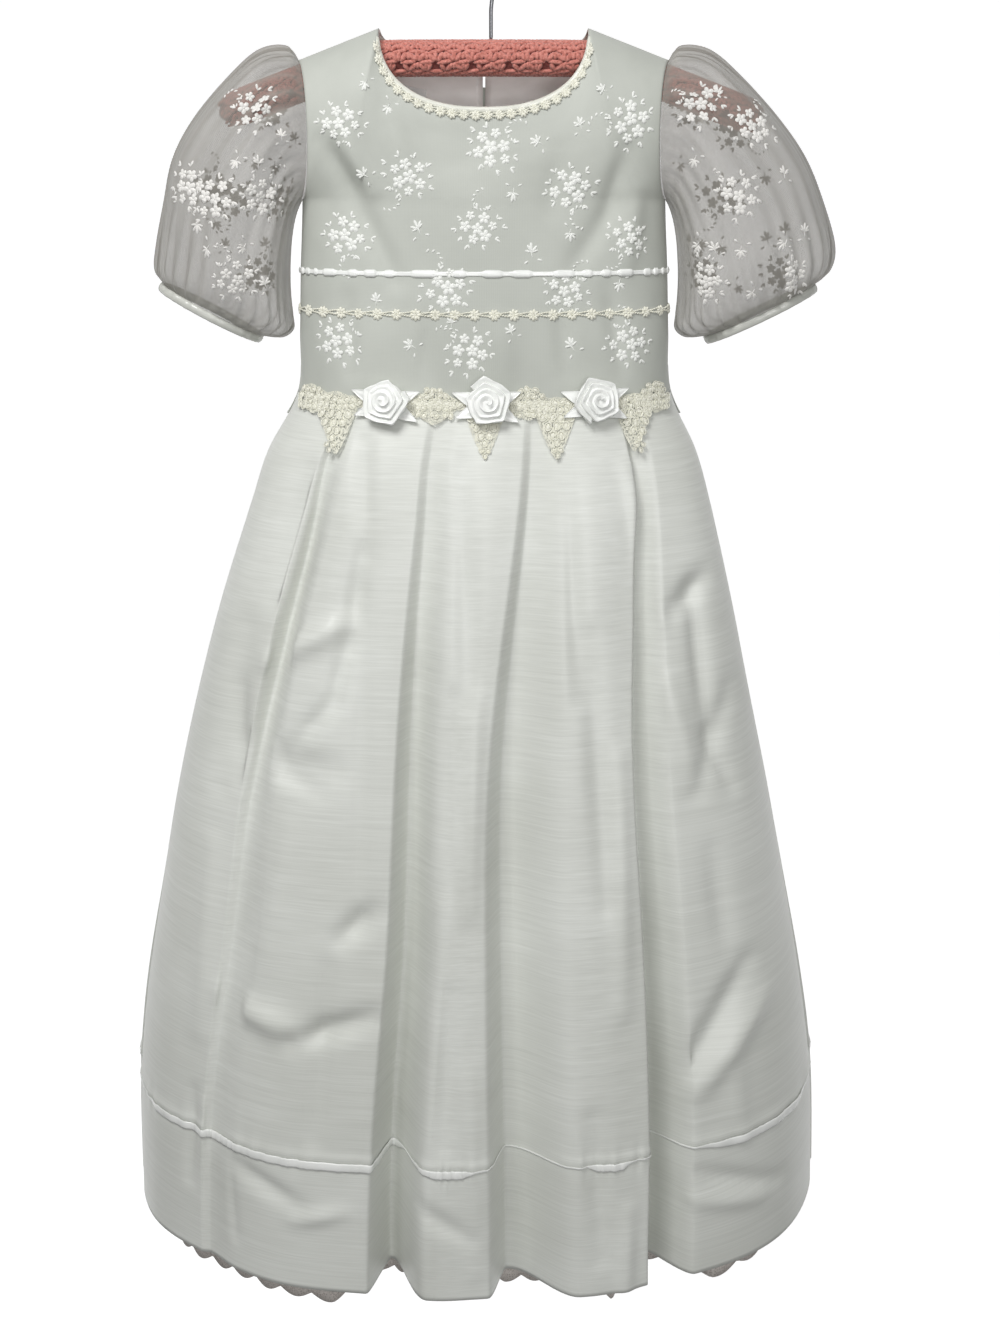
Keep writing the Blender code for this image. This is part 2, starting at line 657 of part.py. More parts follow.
def bodice_surface(back):
    """The surface of the front or the back by its place across and its row: -1 at the top, 0 at the
    underarm and 1 at the waist."""
    def surface(across, row):
        if row < 0.0:
            return yoke_point(-across if back else across, -row, back)
        degrees = 180.0 + 90.0 * across if back else 90.0 * across
        drop = blend(UNDERARM_DROP, WAIST_DROP, row)
        point, _ = section(degrees, drop)
        point.y += SEAM_GAP * (0.7 if back else -0.7)
        point.z = -drop - FRONT_WAIST_DIP * max(math.cos(math.radians(degrees)), 0.0) * ease(row)
        return point
    return surface


def drop_row(drop):
    """The bodice row at a drop between the underarm and the waist."""
    return (drop - UNDERARM_DROP) / (WAIST_DROP - UNDERARM_DROP)


def band_rows(drop, width):
    return [drop_row(drop - width / 2), drop_row(drop + width / 2)]


def on_side_seam(across, row):
    side = abs(across)
    return (row >= 0.0 and side > 0.999) or (row < -0.999 and side >= NECK_SHARE)


def build_bodice():
    front = bodice_surface(back=False)
    back = bodice_surface(back=True)
    ribbon = band_rows(CHEST_RIBBON_DROP, RIBBON_WIDTH)
    daisies = band_rows(DAISY_LACE_DROP, DAISY_LACE_WIDTH)
    waist_row = 1.0 - SEAM_GAP / (WAIST_DROP - UNDERARM_DROP)
    neck = spread(-NECK_SHARE, NECK_SHARE, 13)
    side = spread(NECK_SHARE, 1.0, 5)[1:]
    columns = [-across for across in reversed(side)] + neck + side
    rows = YOKE_ROWS + FRONT_ROWS[:1] + ribbon + daisies + FRONT_ROWS[1:] + [waist_row]
    cloth("bodice_front", front, columns, rows, 0.0, -CLOTH, "embroidered organza", square_at=on_side_seam)
    trim = (TRIM_LIFT + TRIM, TRIM_LIFT)
    edging = (NECK_TRIM_LIFT + TRIM, NECK_TRIM_LIFT)
    binding_rows = [-1.0, -BINDING_ROW - EDGE_ROW_GAP]
    lace_rows = [-BINDING_ROW + EDGE_ROW_GAP, -LACE_ROW]
    edge = [-NECK_END] + neck[1:-1] + [NECK_END]
    cloth("neck_binding_front", front, edge, binding_rows, *edging, "satin")
    cloth("neck_lace_front", front, edge, lace_rows, *edging, "ivory lace")
    cloth("chest_ribbon", front, columns, ribbon, *trim, "satin", square_at=on_side_seam)
    build_daisy_lace(front)
    back_rows = YOKE_ROWS + BACK_ROWS + [waist_row]
    back_neck = [CENTRE_BACK] + spread(0.0, NECK_SHARE, 7)[1:]
    for name, hand in (("left", -1.0), ("right", 1.0)):
        edge = sorted(hand * across for across in back_neck[:-1] + [NECK_END])
        columns = sorted(hand * across for across in back_neck + side)
        cloth(f"bodice_back_{name}", back, columns, back_rows, 0.0, -CLOTH, "embroidered organza",
              square_at=on_side_seam)
        cloth(f"neck_binding_back_{name}", back, edge, binding_rows, *edging, "satin")
        cloth(f"neck_lace_back_{name}", back, edge, lace_rows, *edging, "ivory lace")
    label = (-CLOTH - TRIM_LIFT, -CLOTH - TRIM_LIFT - TRIM)
    cloth("neck_label", back, LABEL_COLUMNS, LABEL_ROWS, *label, "satin")
    build_closing(back)


def build_daisy_lace(front):
    """A row of daisies as a strip whose edges swell at each flower and draw in between."""
    half_round = math.pi / 2 * read(SECTIONS, "half_width", "drop", DAISY_LACE_DROP) * FRONT_ARC_SHARE
    count = 2 * round(half_round / DAISY_PITCH)
    columns = spread(-1.0, 1.0, 2 * count + 1)

    def surface(across, side):
        swell = 1.0 if abs(round((across + 1.0) * count) % 2) == 1 else DAISY_NARROWING
        return front(across, drop_row(DAISY_LACE_DROP + side * swell * DAISY_LACE_WIDTH / 2))

    def smooth(across, side):
        return front(across, drop_row(DAISY_LACE_DROP + side * DAISY_LACE_WIDTH / 2))

    outer = []
    inner = []
    for side in (-1.0, 1.0):
        normals = [outward(smooth, across, side, 0.02, 0.5) for across in columns]
        points = [surface(across, side) for across in columns]
        outer.append([point + normal * (TRIM_LIFT + TRIM) for point, normal in zip(points, normals)])
        inner.append([point + normal * TRIM_LIFT for point, normal in zip(points, normals)])
    close_wall("chest_daisy_lace", outer, inner, "ivory lace")


def build_closing(back):
    """The button band over the meeting edges of the back, with its buttons."""
    rows = spread(*PLACKET_ROWS, 9)
    columns = [-PLACKET_REACH, 0.0, PLACKET_REACH]
    cloth("back_placket", back, columns, rows, TRIM_LIFT + TRIM, TRIM_LIFT, "embroidered organza")
    for number, row in enumerate(spread(*BUTTON_ROWS, BUTTON_COUNT), start=1):
        point = back(0.0, row)
        normal = outward(back, 0.0, row, 0.02, 0.02)
        middle = point + normal * (TRIM_LIFT + TRIM + SEAM_GAP + BUTTON_THICKNESS / 2)
        shape = bmesh.new()
        bmesh.ops.create_cone(shape, cap_ends=True, segments=12, radius1=BUTTON_RADIUS,
                              radius2=BUTTON_RADIUS * BUTTON_TAPER, depth=BUTTON_THICKNESS)
        bmesh.ops.rotate(shape, verts=shape.verts, matrix=normal.to_track_quat("Z", "Y").to_matrix())
        bmesh.ops.translate(shape, verts=shape.verts, vec=middle)
        add_piece(f"button_{number}", shape, "pearl button")


# The sleeves and their cuffs

def sleeve_ring(left, along):
    """The middle, the upward half and the half depth of the sleeve's ring at a station."""
    more = read(SLEEVE_STATIONS, "left_more", "along", along) if left else 0.0
    outer = Vector((read(SLEEVE_STATIONS, "outer_reach", "along", along) + more, 0.0,
                    -read(SLEEVE_STATIONS, "outer_drop", "along", along)))
    inner = Vector((read(SLEEVE_STATIONS, "inner_reach", "along", along), 0.0,
                    -read(SLEEVE_STATIONS, "inner_drop", "along", along)))
    return (outer + inner) / 2, (outer - inner) / 2, read(SLEEVE_STATIONS, "half_depth", "along", along)


def sleeve_surface(left):
    """The puff by its turn, from 0 at the top by the front, and its station from the armhole to the cuff."""
    hand = 1.0 if left else -1.0

    def surface(turn, along):
        angle = math.radians(turn)
        middle, half, depth = sleeve_ring(left, along)
        around = half * math.cos(angle) + Vector((0.0, -depth * math.sin(angle), 0.0))
        at_cap = 0.2 + 0.4 * (1.0 + math.cos(angle))
        gather = read(SLEEVE_STATIONS, "gather", "along", along) * blend(at_cap, 1.0, ease(along / 6))
        point = middle + around + around.normalized() * gather * math.cos(SLEEVE_GATHERS * angle)
        point.x -= ARMHOLE_BOW * abs(math.sin(angle)) * max(1.0 - along / ARMHOLE_BOW_END, 0.0)
        below = max(-math.cos(angle), 0.0) ** 2
        seam = SLEEVE_SEAM + UNDERARM_SEAM * below * max(1.0 - along / SLEEVE_SEAM_END, 0.0)
        point.x = hand * (point.x + seam) + SWAY
        return point
    return surface


def build_sleeves():
    last = len(SLEEVE_STATIONS) - 1
    turns = spread(0.0, 360.0, SLEEVE_COLUMNS + 1)[:-1]
    rows = [station["along"] for station in SLEEVE_STATIONS]
    for name, left in (("left", True), ("right", False)):
        turned = -1.0 if left else 1.0
        surface = sleeve_surface(left)
        cloth(f"sleeve_{name}", surface, turns, rows, 0.0, -SHEER, "sheer organza",
              turned=turned, ring=True)
        middle, half, depth = sleeve_ring(left, last)
        axis = Vector((-half.z, 0.0, half.x)).normalized()
        axis = axis if axis.z < 0 else -axis
        hand = 1.0 if left else -1.0
        outer = []
        inner = []
        for along in (SEAM_GAP, SEAM_GAP + CUFF_WIDTH):
            outer_row = []
            inner_row = []
            for turn in spread(0.0, 360.0, CUFF_COLUMNS + 1)[:-1]:
                angle = math.radians(turn)
                around = half * math.cos(angle) + Vector((0.0, -depth * math.sin(angle), 0.0))
                place = middle + around + axis * along
                for row, out in ((outer_row, CUFF_STAND), (inner_row, -SHEER - TRIM_LIFT)):
                    point = place + around.normalized() * out
                    row.append(Vector((hand * (point.x + SLEEVE_SEAM) + SWAY, point.y, point.z)))
            outer.append(outer_row)
            inner.append(inner_row)
        close_wall(f"cuff_{name}", outer, inner, "satin", ring=True)


# Lace, roses and sash round the waist

def envelope(x, fall, back=False):
    """A point over the crests of the skirt or on the bodice, at a place across and a distance below the
    seam."""
    drop = WAIST_DROP + fall
    half_width = read(SECTIONS, "half_width", "drop", drop)
    sway = read(SECTIONS, "sway", "drop", drop)
    across = min(max((x - sway) / half_width, -1.0), 1.0)
    degrees = math.degrees(math.asin(signed_power(across, 1.0 / SQUARENESS)))
    degrees = 180.0 - degrees if back else degrees
    point, out = section(degrees, drop)
    point += out * PANEL_CROWN * min(max(fall, 0.0) / 0.1, 1.0)
    point.z = skirt_height(degrees, fall)
    return point


def lace_reach(x, key):
    """How far the waist lace rises above the seam or hangs below it at a place across."""
    reach = WAIST_LACE_BAND
    for shape in WAIST_LACE_SHAPES:
        away = abs(x - shape["x"]) / shape["half_width"]
        if away < 1.0:
            reach = max(reach, shape[key] * (1.0 - away ** 1.3))
    return reach


def lace_lift(x):
    """How far the waist lace lies off the dress: a little more where the dress turns to its sides."""
    return WAIST_LACE_LIFT + SIDE_LIFT * ease((abs(x - SWAY) - SIDE_LIFT_START) / SIDE_LIFT_RUN)


def build_waist_lace():
    def surface(x, share):
        return envelope(x, share * lace_reach(x, "rise" if share < 0.0 else "hang"))

    def smooth(x, share):
        return envelope(x, share * 0.010)

    columns = spread(SWAY - WAIST_LACE_HALF_SPAN, SWAY + WAIST_LACE_HALF_SPAN, WAIST_LACE_COLUMNS)
    outer = []
    inner = []
    for share in WAIST_LACE_ROWS:
        points = [surface(x, share) for x in columns]
        normals = [outward(smooth, x, share, 0.004, 0.3) for x in columns]
        lifts = [lace_lift(x) for x in columns]
        outer.append([point + normal * (lift + TRIM) for point, normal, lift in zip(points, normals, lifts)])
        inner.append([point + normal * lift for point, normal, lift in zip(points, normals, lifts)])
    close_wall("waist_lace", outer, inner, "ivory lace")


def leaf_reach(turn):
    """The outline of the four ribbon points behind a rose."""
    nearest = min(abs((turn - point + 180.0) % 360.0 - 180.0) for point in LEAF_POINTS)
    return blend(LEAF_REACH, ROSE_RADIUS * 0.8, min(nearest / LEAF_SPREAD, 1.0))


def build_rose(number, x):
    """A ribbon rose: folded points on the lace, and a low dome with its wound edges on them."""
    turns = spread(0.0, 360.0, ROSE_COLUMNS + 1)[:-1]

    def spot(turn, reach):
        angle = math.radians(turn)
        return envelope(x + reach * math.cos(angle), -reach * math.sin(angle) * LEAF_FLATNESS)

    def face(thickness, share):
        row = []
        for turn in turns:
            point = spot(turn, leaf_reach(turn) * share)
            row.append(point - Vector((0.0, lace_lift(point.x) + TRIM + LEAF_GAP + thickness, 0.0)))
        return row

    leaves = [face(LEAF_THICKNESS, 0.5), face(LEAF_THICKNESS, 1.0), face(0.0, 1.0), face(0.0, 0.5)]
    close_disc(f"rose_leaves_{number}", leaves, "satin")

    up = (envelope(x, -ROSE_RADIUS) - envelope(x, ROSE_RADIUS)).normalized()
    right = (envelope(x + ROSE_RADIUS, 0.0) - envelope(x - ROSE_RADIUS, 0.0)).normalized()
    out = right.cross(up).normalized()
    up = out.cross(right)
    under = [spot(turn, ROSE_RADIUS * share) for turn in turns for share in (0.0, 0.5, 1.0)]
    middle = envelope(x, 0.0)
    crest = max((point - middle).dot(out) for point in under)
    middle += out * (crest + lace_lift(x) + TRIM + LEAF_GAP + LEAF_THICKNESS + SEAM_GAP)

    def place(turn, reach, height):
        angle = math.radians(turn)
        return middle + reach * (right * math.cos(angle) + up * math.sin(angle)) + out * height

    rows = []
    for share in ROSE_RINGS:
        row = []
        for turn in turns:
            angle = math.radians(turn)
            corner = 1.0 + 0.05 * math.cos(5 * angle + number) * share
            wound = math.cos(2 * math.pi * ROSE_TURNS * share - angle)
            height = ROSE_HEIGHT * math.sqrt(1.0 - 0.82 * share ** 2) * (1.0 + 0.16 * wound)
            row.append(place(turn, ROSE_RADIUS * share * corner, height))
        rows.append(row)
    foot = [place(turn, ROSE_FOOT * ROSE_RADIUS, 0.0) for turn in turns]
    close_disc(f"rose_{number}", rows + [foot], "satin")


def close_disc(name, rings, finish_name):
    """A closed body through rings of points, with a point put in the middle of its first and last ring."""
    shape = bmesh.new()
    made = [[shape.verts.new(point) for point in ring] for ring in rings]
    count = len(rings[0])
    for before, after in zip(made, made[1:]):
        for index in range(count):
            next_index = (index + 1) % count
            shape.faces.new((before[index], before[next_index], after[next_index], after[index]))
    for ring, points in ((made[0], rings[0]), (made[-1], rings[-1])):
        centre = shape.verts.new(sum(points, Vector()) / count)
        for index in range(count):
            shape.faces.new((ring[index], ring[(index + 1) % count], centre))
    return add_piece(name, shape, finish_name)


def sash_surface(hand):
    """A sash tie from the side seam (0) round to the knot (1). share runs from -1 at its upper edge to 1."""
    def surface(along, share):
        degrees = hand * blend(SASH_START, SASH_END, along)
        slack = math.sin(math.pi * min(max(along * 1.35, 0.0), 1.0)) ** 2
        half = blend(SASH_HALF_HEIGHT, SASH_KNOT_HALF_HEIGHT, ease(along * 1.2))
        fall = KNOT_FALL * along + SASH_SLACK * slack + share * half
        point, out = section(degrees, WAIST_DROP + fall)
        point += out * (PANEL_CROWN * min(max(fall, 0.0) / 0.1, 1.0) + SASH_SIDE_BULGE * slack)
        point.z = skirt_height(degrees, fall)
        return point
    return surface


def tail_surface(hand):
    """A sash tail over the back of the skirt, by its share across and its distance below the seam."""
    def surface(share, fall):
        half = blend(TAIL_TOP_HALF_WIDTH, TAIL_HALF_WIDTH, ease((fall - KNOT_FALL) / 0.09))
        middle = half + TAIL_PARTING + TAIL_SPREAD * max(fall / TAIL_LENGTH, 0.0) ** 1.2
        slant = 1.0 + TAIL_SLANT * share * ease((fall - 0.3) / 0.1)
        sway = read(SECTIONS, "sway", "drop", WAIST_DROP + fall)
        return envelope(sway + hand * (middle + share * half), fall * slant, back=True)
    return surface


def loop_surface(hand):
    """One bow loop: out along its far face, round the tip and back along its near face."""
    def surface(share, along):
        angle = math.pi * along
        reach = math.sin(angle) ** 0.75 if 0.0 < along < 1.0 else 0.0
        x = blend(KNOT_HALF_WIDTH, LOOP_REACH, reach)
        half = blend(LOOP_NARROW_HALF, LOOP_WIDE_HALF, ease(reach * 1.4))
        fall = KNOT_FALL + LOOP_DROOP * (x - KNOT_HALF_WIDTH) + share * half
        point = envelope(SWAY + hand * x, fall, back=True)
        point.y += LOOP_LIFT + LOOP_FULLNESS * (1.0 + math.cos(angle)) * blend(0.5, 1.0, reach)
        return point
    return surface


def build_sash():
    tie = (SASH_LIFT + TRIM, SASH_LIFT)
    lift = (TRIM_LIFT + TRIM, TRIM_LIFT)
    edges = [-1.0, 0.0, 1.0]
    for name, hand in (("left", 1.0), ("right", -1.0)):
        cloth(f"sash_{name}", sash_surface(hand), SASH_COLUMNS, edges, *tie, "shantung", turned=hand)
        rows = [KNOT_FALL + KNOT_HALF_HEIGHT + SEAM_GAP * 2] + TAIL_ROWS
        cloth(f"sash_tail_{name}", tail_surface(hand), edges, rows, *lift, "shantung", turned=-hand)
        cloth(f"sash_loop_{name}", loop_surface(hand), edges, spread(0.0, 1.0, 13),
              0.0, -TRIM, "shantung", turned=-hand)
    shape = bmesh.new()
    bmesh.ops.create_uvsphere(shape, u_segments=14, v_segments=7, radius=1.0)
    for point in shape.verts:
        point.co = Vector(signed_power(value, 0.7) for value in point.co)
    bmesh.ops.scale(shape, verts=shape.verts, vec=(KNOT_HALF_WIDTH, KNOT_HALF_DEPTH, KNOT_HALF_HEIGHT))
    above = envelope(SWAY, KNOT_FALL - KNOT_HALF_HEIGHT, back=True)
    below = envelope(SWAY, KNOT_FALL + KNOT_HALF_HEIGHT, back=True)
    lean = math.atan2(below.y - above.y, above.z - below.z)
    bmesh.ops.rotate(shape, verts=shape.verts, matrix=Matrix.Rotation(lean, 3, "X"))
    middle = (above + below) / 2 + Vector((0.0, math.cos(lean), math.sin(lean))) * (KNOT_HALF_DEPTH + KNOT_LIFT)
    bmesh.ops.translate(shape, verts=shape.verts, vec=middle)
    add_piece("sash_knot", shape, "shantung")


# The hanger

def add_tube(name, points, radii, radius, resolution, finish_name):
    """A round bar through a run of points."""
    curve = bpy.data.curves.new(name, "CURVE")
    curve.dimensions = "3D"
    curve.bevel_depth = radius
    curve.bevel_resolution = resolution
    curve.use_fill_caps = True
    spline = curve.splines.new("POLY")
    spline.points.add(len(points) - 1)
    for place, point, share in zip(spline.points, points, radii):
        place.co = (*point, 1.0)
        place.radius = share
    curve.materials.append(finish(finish_name))
    piece = bpy.data.objects.new(name, curve)
    bpy.data.collections["first communion dress"].objects.link(piece)
    return piece


def hanger_drop(x):
    """Drop of the padded bar's middle: level in the middle, then along under the shoulder seams."""
    slope = (SHOULDER_DROP - NECK_POINT_DROP) / (SHOULDER_REACH - NECK_REACH)
    under = (CLOTH + SEAM_GAP + HANGER_SEAT + HANGER_RADIUS) * math.hypot(1.0, slope)
    arm = NECK_POINT_DROP + slope * (abs(x - SWAY) - NECK_REACH) + under
    return (HANGER_CREST_DROP + arm + math.hypot(HANGER_CREST_DROP - arm, HANGER_BEND)) / 2


def build_hanger():
    arm = [(station["reach"], station["size"]) for station in HANGER_STATIONS]
    places = [(-reach, size) for reach, size in reversed(arm)] + [(0.0, 1.0)] + arm
    points = [Vector((x, 0.0, -hanger_drop(x))) for x, size in places]
    add_tube("hanger_cover", points, [size for x, size in places], HANGER_RADIUS, 4, "crocheted yarn")

    wire = HOOK_RADIUS + WIRE_RADIUS
    stem_foot = -hanger_drop(0.0) + HANGER_RADIUS + SEAM_GAP
    path = [Vector((0.0, 0.0, stem_foot))]
    path += [Vector((bend["x"], 0.0, -bend["drop"])) for bend in HOOK_NECK]
    for turn in spread(HOOK_START, HOOK_END, 15):
        angle = math.radians(turn)
        path.append(Vector((wire * math.cos(angle), 0.0, wire * math.sin(angle) - HOOK_RADIUS)))
    add_tube("hanger_hook", path, [1.0] * len(path), WIRE_RADIUS, 2, "steel wire")


def main():
    for thing in list(bpy.data.objects):
        bpy.data.objects.remove(thing, do_unlink=True)
    collection = bpy.data.collections.new("first communion dress")
    bpy.context.scene.collection.children.link(collection)
    build_hanger()
    build_bodice()
    build_sleeves()
    build_skirt()
    build_waist_lace()
    for number, x in enumerate(ROSE_PLACES, start=1):
        build_rose(number, x)
    build_sash()


main()
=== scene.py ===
# The looks of a girl's first communion dress on its padded hanger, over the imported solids
import math
import random
import bmesh
import bpy
import numpy as np
from mathutils import Matrix, Vector
from mathutils.bvhtree import BVHTree


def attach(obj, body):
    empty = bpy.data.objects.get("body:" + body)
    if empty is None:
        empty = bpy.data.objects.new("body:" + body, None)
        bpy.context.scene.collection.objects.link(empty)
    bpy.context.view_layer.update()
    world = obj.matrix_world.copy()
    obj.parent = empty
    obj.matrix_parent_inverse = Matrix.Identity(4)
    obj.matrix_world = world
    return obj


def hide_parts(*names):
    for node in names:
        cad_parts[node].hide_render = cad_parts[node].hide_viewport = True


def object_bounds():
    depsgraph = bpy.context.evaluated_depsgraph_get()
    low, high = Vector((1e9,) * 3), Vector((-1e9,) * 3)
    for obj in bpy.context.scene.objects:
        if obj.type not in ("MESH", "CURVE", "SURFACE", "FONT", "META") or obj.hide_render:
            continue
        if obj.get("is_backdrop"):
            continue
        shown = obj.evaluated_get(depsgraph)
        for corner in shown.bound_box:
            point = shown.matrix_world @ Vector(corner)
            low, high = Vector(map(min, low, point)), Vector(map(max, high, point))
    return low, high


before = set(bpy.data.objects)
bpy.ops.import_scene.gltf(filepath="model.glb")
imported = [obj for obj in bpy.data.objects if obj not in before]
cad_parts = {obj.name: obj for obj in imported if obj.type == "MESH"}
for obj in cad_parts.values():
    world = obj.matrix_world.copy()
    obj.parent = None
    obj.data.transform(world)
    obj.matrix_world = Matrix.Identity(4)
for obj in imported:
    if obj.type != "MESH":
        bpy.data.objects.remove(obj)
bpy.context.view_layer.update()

# Sizes in metres; drops are measured down from the hook
WAIST_DROP = 0.3705
HEM_DROP = 1.147
UNDERARM_DROP = 0.214
SHOULDER_DROP = 0.105
NECK_POINT_DROP = 0.080
FRONT_NECK_DROP = 0.143
BACK_NECK_DROP = 0.100
SKIRT_LENGTH = HEM_DROP - WAIST_DROP
SWAY = -0.006
SQUARENESS = 0.87
NECK_REACH = 0.084
SHOULDER_REACH = 0.151
UNDERARM_REACH = 0.150
NECK_SHARE = 0.56
NECK_END = 0.545
NECK_CURVE = 0.85
NECK_UPRIGHT = 1.2
FRONT_NECK_STAND = 0.034
BACK_NECK_STAND = 0.030
SHOULDER_ROUNDNESS = 2.8
ARMHOLE_HALF_DEPTH = 0.034
ARMHOLE_BOW = 0.009
ARMHOLE_PULL = 1.8
FRONT_WAIST_DIP = 0.0055
HEM_SIDE_RISE = 0.024
BACK_SPREAD = 0.040
PANEL_CROWN = 0.005
STEEP_DEGREES = 2.6
# Within a pleat, where its open side ends and where the steep side of the next one begins
OPEN_END = 0.3
STEEP_START = 0.8
SLIP_FOLD_DEGREES = 7.0
HEM_RIBBON_RISE = 0.122
HEM_RIBBON_WIDTH = 0.0085
CHEST_RIBBON_DROP = 0.2705
CHEST_RIBBON_WIDTH = 0.006
DAISY_LACE_DROP = 0.3015
DAISY_PITCH = 0.016
NECK_DAISY_PITCH = 0.0095
BEAD_PITCH = 0.0021
SLIP_HEM = 0.750
SLIP_LACE_END = 0.800
LACE_HALF_SPAN = 0.1485
ROSE_PLACES = [-0.086, -0.003, 0.086]
ROSE_RADIUS = 0.0205
HANGER_RADIUS = 0.0148
HANGER_HALF_SPAN = 0.222
HANGER_TAPER = 0.200
HANGER_CREST_DROP = 0.103
WIRE_RADIUS = 0.0016
HOOK_RADIUS = 0.020
KNOT_FALL = 0.010
KNOT_HALF_WIDTH = 0.015
KNOT_HALF_DEPTH = 0.0105
TAIL_LENGTH = 0.400
PLACKET_SHARE = 0.0204
# Thickness of the cloths
ORGANZA_WALL = 0.0008
PLACKET_WALL = 0.0007
SASH_WALL = 0.0006
NET_WALL = 0.0004
ROSE_RIBBON_WALL = 0.0004
LABEL_WALL = 0.0004
RIBBON_WALL = 0.0003

# Sections of the dress's body: drop from the hook, half the width, half the depth, and the sway
SECTIONS = {
    "drop": [0.105, 0.214, 0.271, 0.320, 0.371, 0.421, 0.465,
             0.554, 0.645, 0.739, 0.836, 0.936, 1.025, 1.147],
    "half_width": [0.149, 0.150, 0.153, 0.155, 0.158, 0.182, 0.195,
                   0.219, 0.239, 0.257, 0.272, 0.287, 0.296, 0.300],
    "half_depth": [0.040, 0.044, 0.050, 0.055, 0.061, 0.076, 0.086,
                   0.100, 0.112, 0.124, 0.135, 0.145, 0.151, 0.156],
    "sway": [-0.006, -0.006, -0.006, -0.006, -0.006, -0.008, -0.009,
             -0.013, -0.016, -0.017, -0.017, -0.017, -0.016, -0.015],
}
# The pleats round the skirt from the right side seam by the front: degrees at the waist, halfway and
# at the hem, depth in millimetres at a fifth, halfway and at the hem, and the open side in degrees
PLEATS = {
    "waist": [-95, -42, -11, 12, 44, 95, 136, 166, 192, 224, 265],
    "middle": [-94, -47, -10, 4, 32, 94, 133, 163, 196, 226, 266],
    "hem": [-93, -51, -13, 4, 30, 93, 131, 161, 198, 229, 267],
    "high": [9, 17, 12, 12, 14, 9, 12, 12, 12, 12, 9],
    "half": [20, 7, 32, 28, 28, 22, 26, 28, 26, 25, 20],
    "low": [34, 4, 56, 44, 52, 38, 44, 50, 46, 42, 34],
    "slope": [8, 9, 7, 11, 8, 8, 9, 8, 10, 8, 8],
}
SLIP_INSET = {"fall": [0.0, 0.030, 0.200, 0.780], "inset": [1.75, 6.5, 9.0, 14.0]}
SLEEVE_GATHERS = 27
# Stations of the puff sleeve from the armhole to the cuff
SLEEVES = {
    "along": [0, 1, 2, 3, 4, 5, 6, 7, 8, 9],
    "outer_reach": [0.151, 0.159, 0.181, 0.205, 0.236, 0.255, 0.264, 0.271, 0.273, 0.267],
    "outer_drop": [0.105, 0.096, 0.099, 0.117, 0.150, 0.182, 0.218, 0.252, 0.272, 0.282],
    "inner_reach": [0.150, 0.1535, 0.158, 0.161, 0.163, 0.163, 0.162, 0.162, 0.171, 0.186],
    "inner_drop": [0.214, 0.221, 0.236, 0.252, 0.274, 0.292, 0.307, 0.319, 0.326, 0.325],
    "half_depth": [0.034, 0.040, 0.047, 0.053, 0.057, 0.056, 0.052, 0.045, 0.037, 0.031],
    "gather": [0.0000, 0.0022, 0.0024, 0.0014, 0.0008, 0.0008, 0.0012, 0.0020, 0.0022, 0.0006],
    "left_more": [0.000, 0.000, 0.001, 0.002, 0.004, 0.009, 0.016, 0.019, 0.014, 0.008],
}
# The waist lace: where its clusters rise and its points hang
WAIST_LACE = {
    "x": [-0.147, -0.127, -0.047, -0.005, 0.031, 0.053, 0.117, 0.136],
    "half_width": [0.020, 0.019, 0.024, 0.019, 0.022, 0.020, 0.018, 0.020],
    "rise": [0.012, 0.008, 0.014, 0.006, 0.014, 0.006, 0.006, 0.014],
    "hang": [0.014, 0.046, 0.018, 0.047, 0.014, 0.047, 0.044, 0.014],
}


# Numbers and tables

def ease(value):
    """A step from nought to one with a soft start and end."""
    value = np.clip(value, 0.0, 1.0)
    return value * value * (3.0 - 2.0 * value)


def blend(start, end, share):
    """What lies at a share of the way from start to end."""
    return start + (end - start) * share


def power(value, exponent):
    """A power that keeps the sign of its value."""
    return np.sign(value) * np.abs(value) ** exponent


def read(table, column, key, places):
    """A smooth curve through one column of a table, at places along another."""
    keys = np.array(table[key], float)
    values = np.array(table[column], float)
    after = np.minimum(np.arange(len(keys)) + 1, len(keys) - 1)
    before = np.maximum(np.arange(len(keys)) - 1, 0)
    slopes = (values[after] - values[before]) / (keys[after] - keys[before])
    places = np.clip(places, keys[0], keys[-1])
    low = np.clip(np.searchsorted(keys, places, side="right") - 1, 0, len(keys) - 2)
    span = keys[low + 1] - keys[low]
    share = (places - keys[low]) / span
    leaving = slopes[low] * span * (share**3 - 2 * share**2 + share)
    arriving = slopes[low + 1] * span * (share**3 - share**2)
    moved = (values[low + 1] - values[low]) * (3 * share**2 - 2 * share**3)
    return values[low] + moved + leaving + arriving


def stack(x, y, z):
    """Points from their x, y and z."""
    return np.stack(np.broadcast_arrays(x, y, z), axis=-1).astype(float)


def unit(vectors):
    """The same vectors, one unit long."""
    return vectors / np.maximum(np.linalg.norm(vectors, axis=-1, keepdims=True), 1e-12)


# The forms of the dress, the same as those of its solids

def section(degrees, drop):
    """Points of the dress's oval outline, by the angle from its front, and the ways out of it."""
    angle = np.radians(degrees)
    half_width = read(SECTIONS, "half_width", "drop", drop)
    half_depth = read(SECTIONS, "half_depth", "drop", drop)
    across = power(np.sin(angle), SQUARENESS)
    ahead = power(np.cos(angle), SQUARENESS)
    steep = 2.0 / SQUARENESS - 1.0
    out = stack(power(across, steep) / half_width, -power(ahead, steep) / half_depth, 0.0)
    down = ease((drop - WAIST_DROP) / SKIRT_LENGTH)
    widest_behind = np.exp(-((np.abs((degrees + 180) % 360 - 180) - 118) / 34) ** 2)
    wider = np.sign(across) * BACK_SPREAD * down * widest_behind
    sway = read(SECTIONS, "sway", "drop", drop)
    return stack(sway + across * half_width + wider, -ahead * half_depth, 0.0), unit(out)


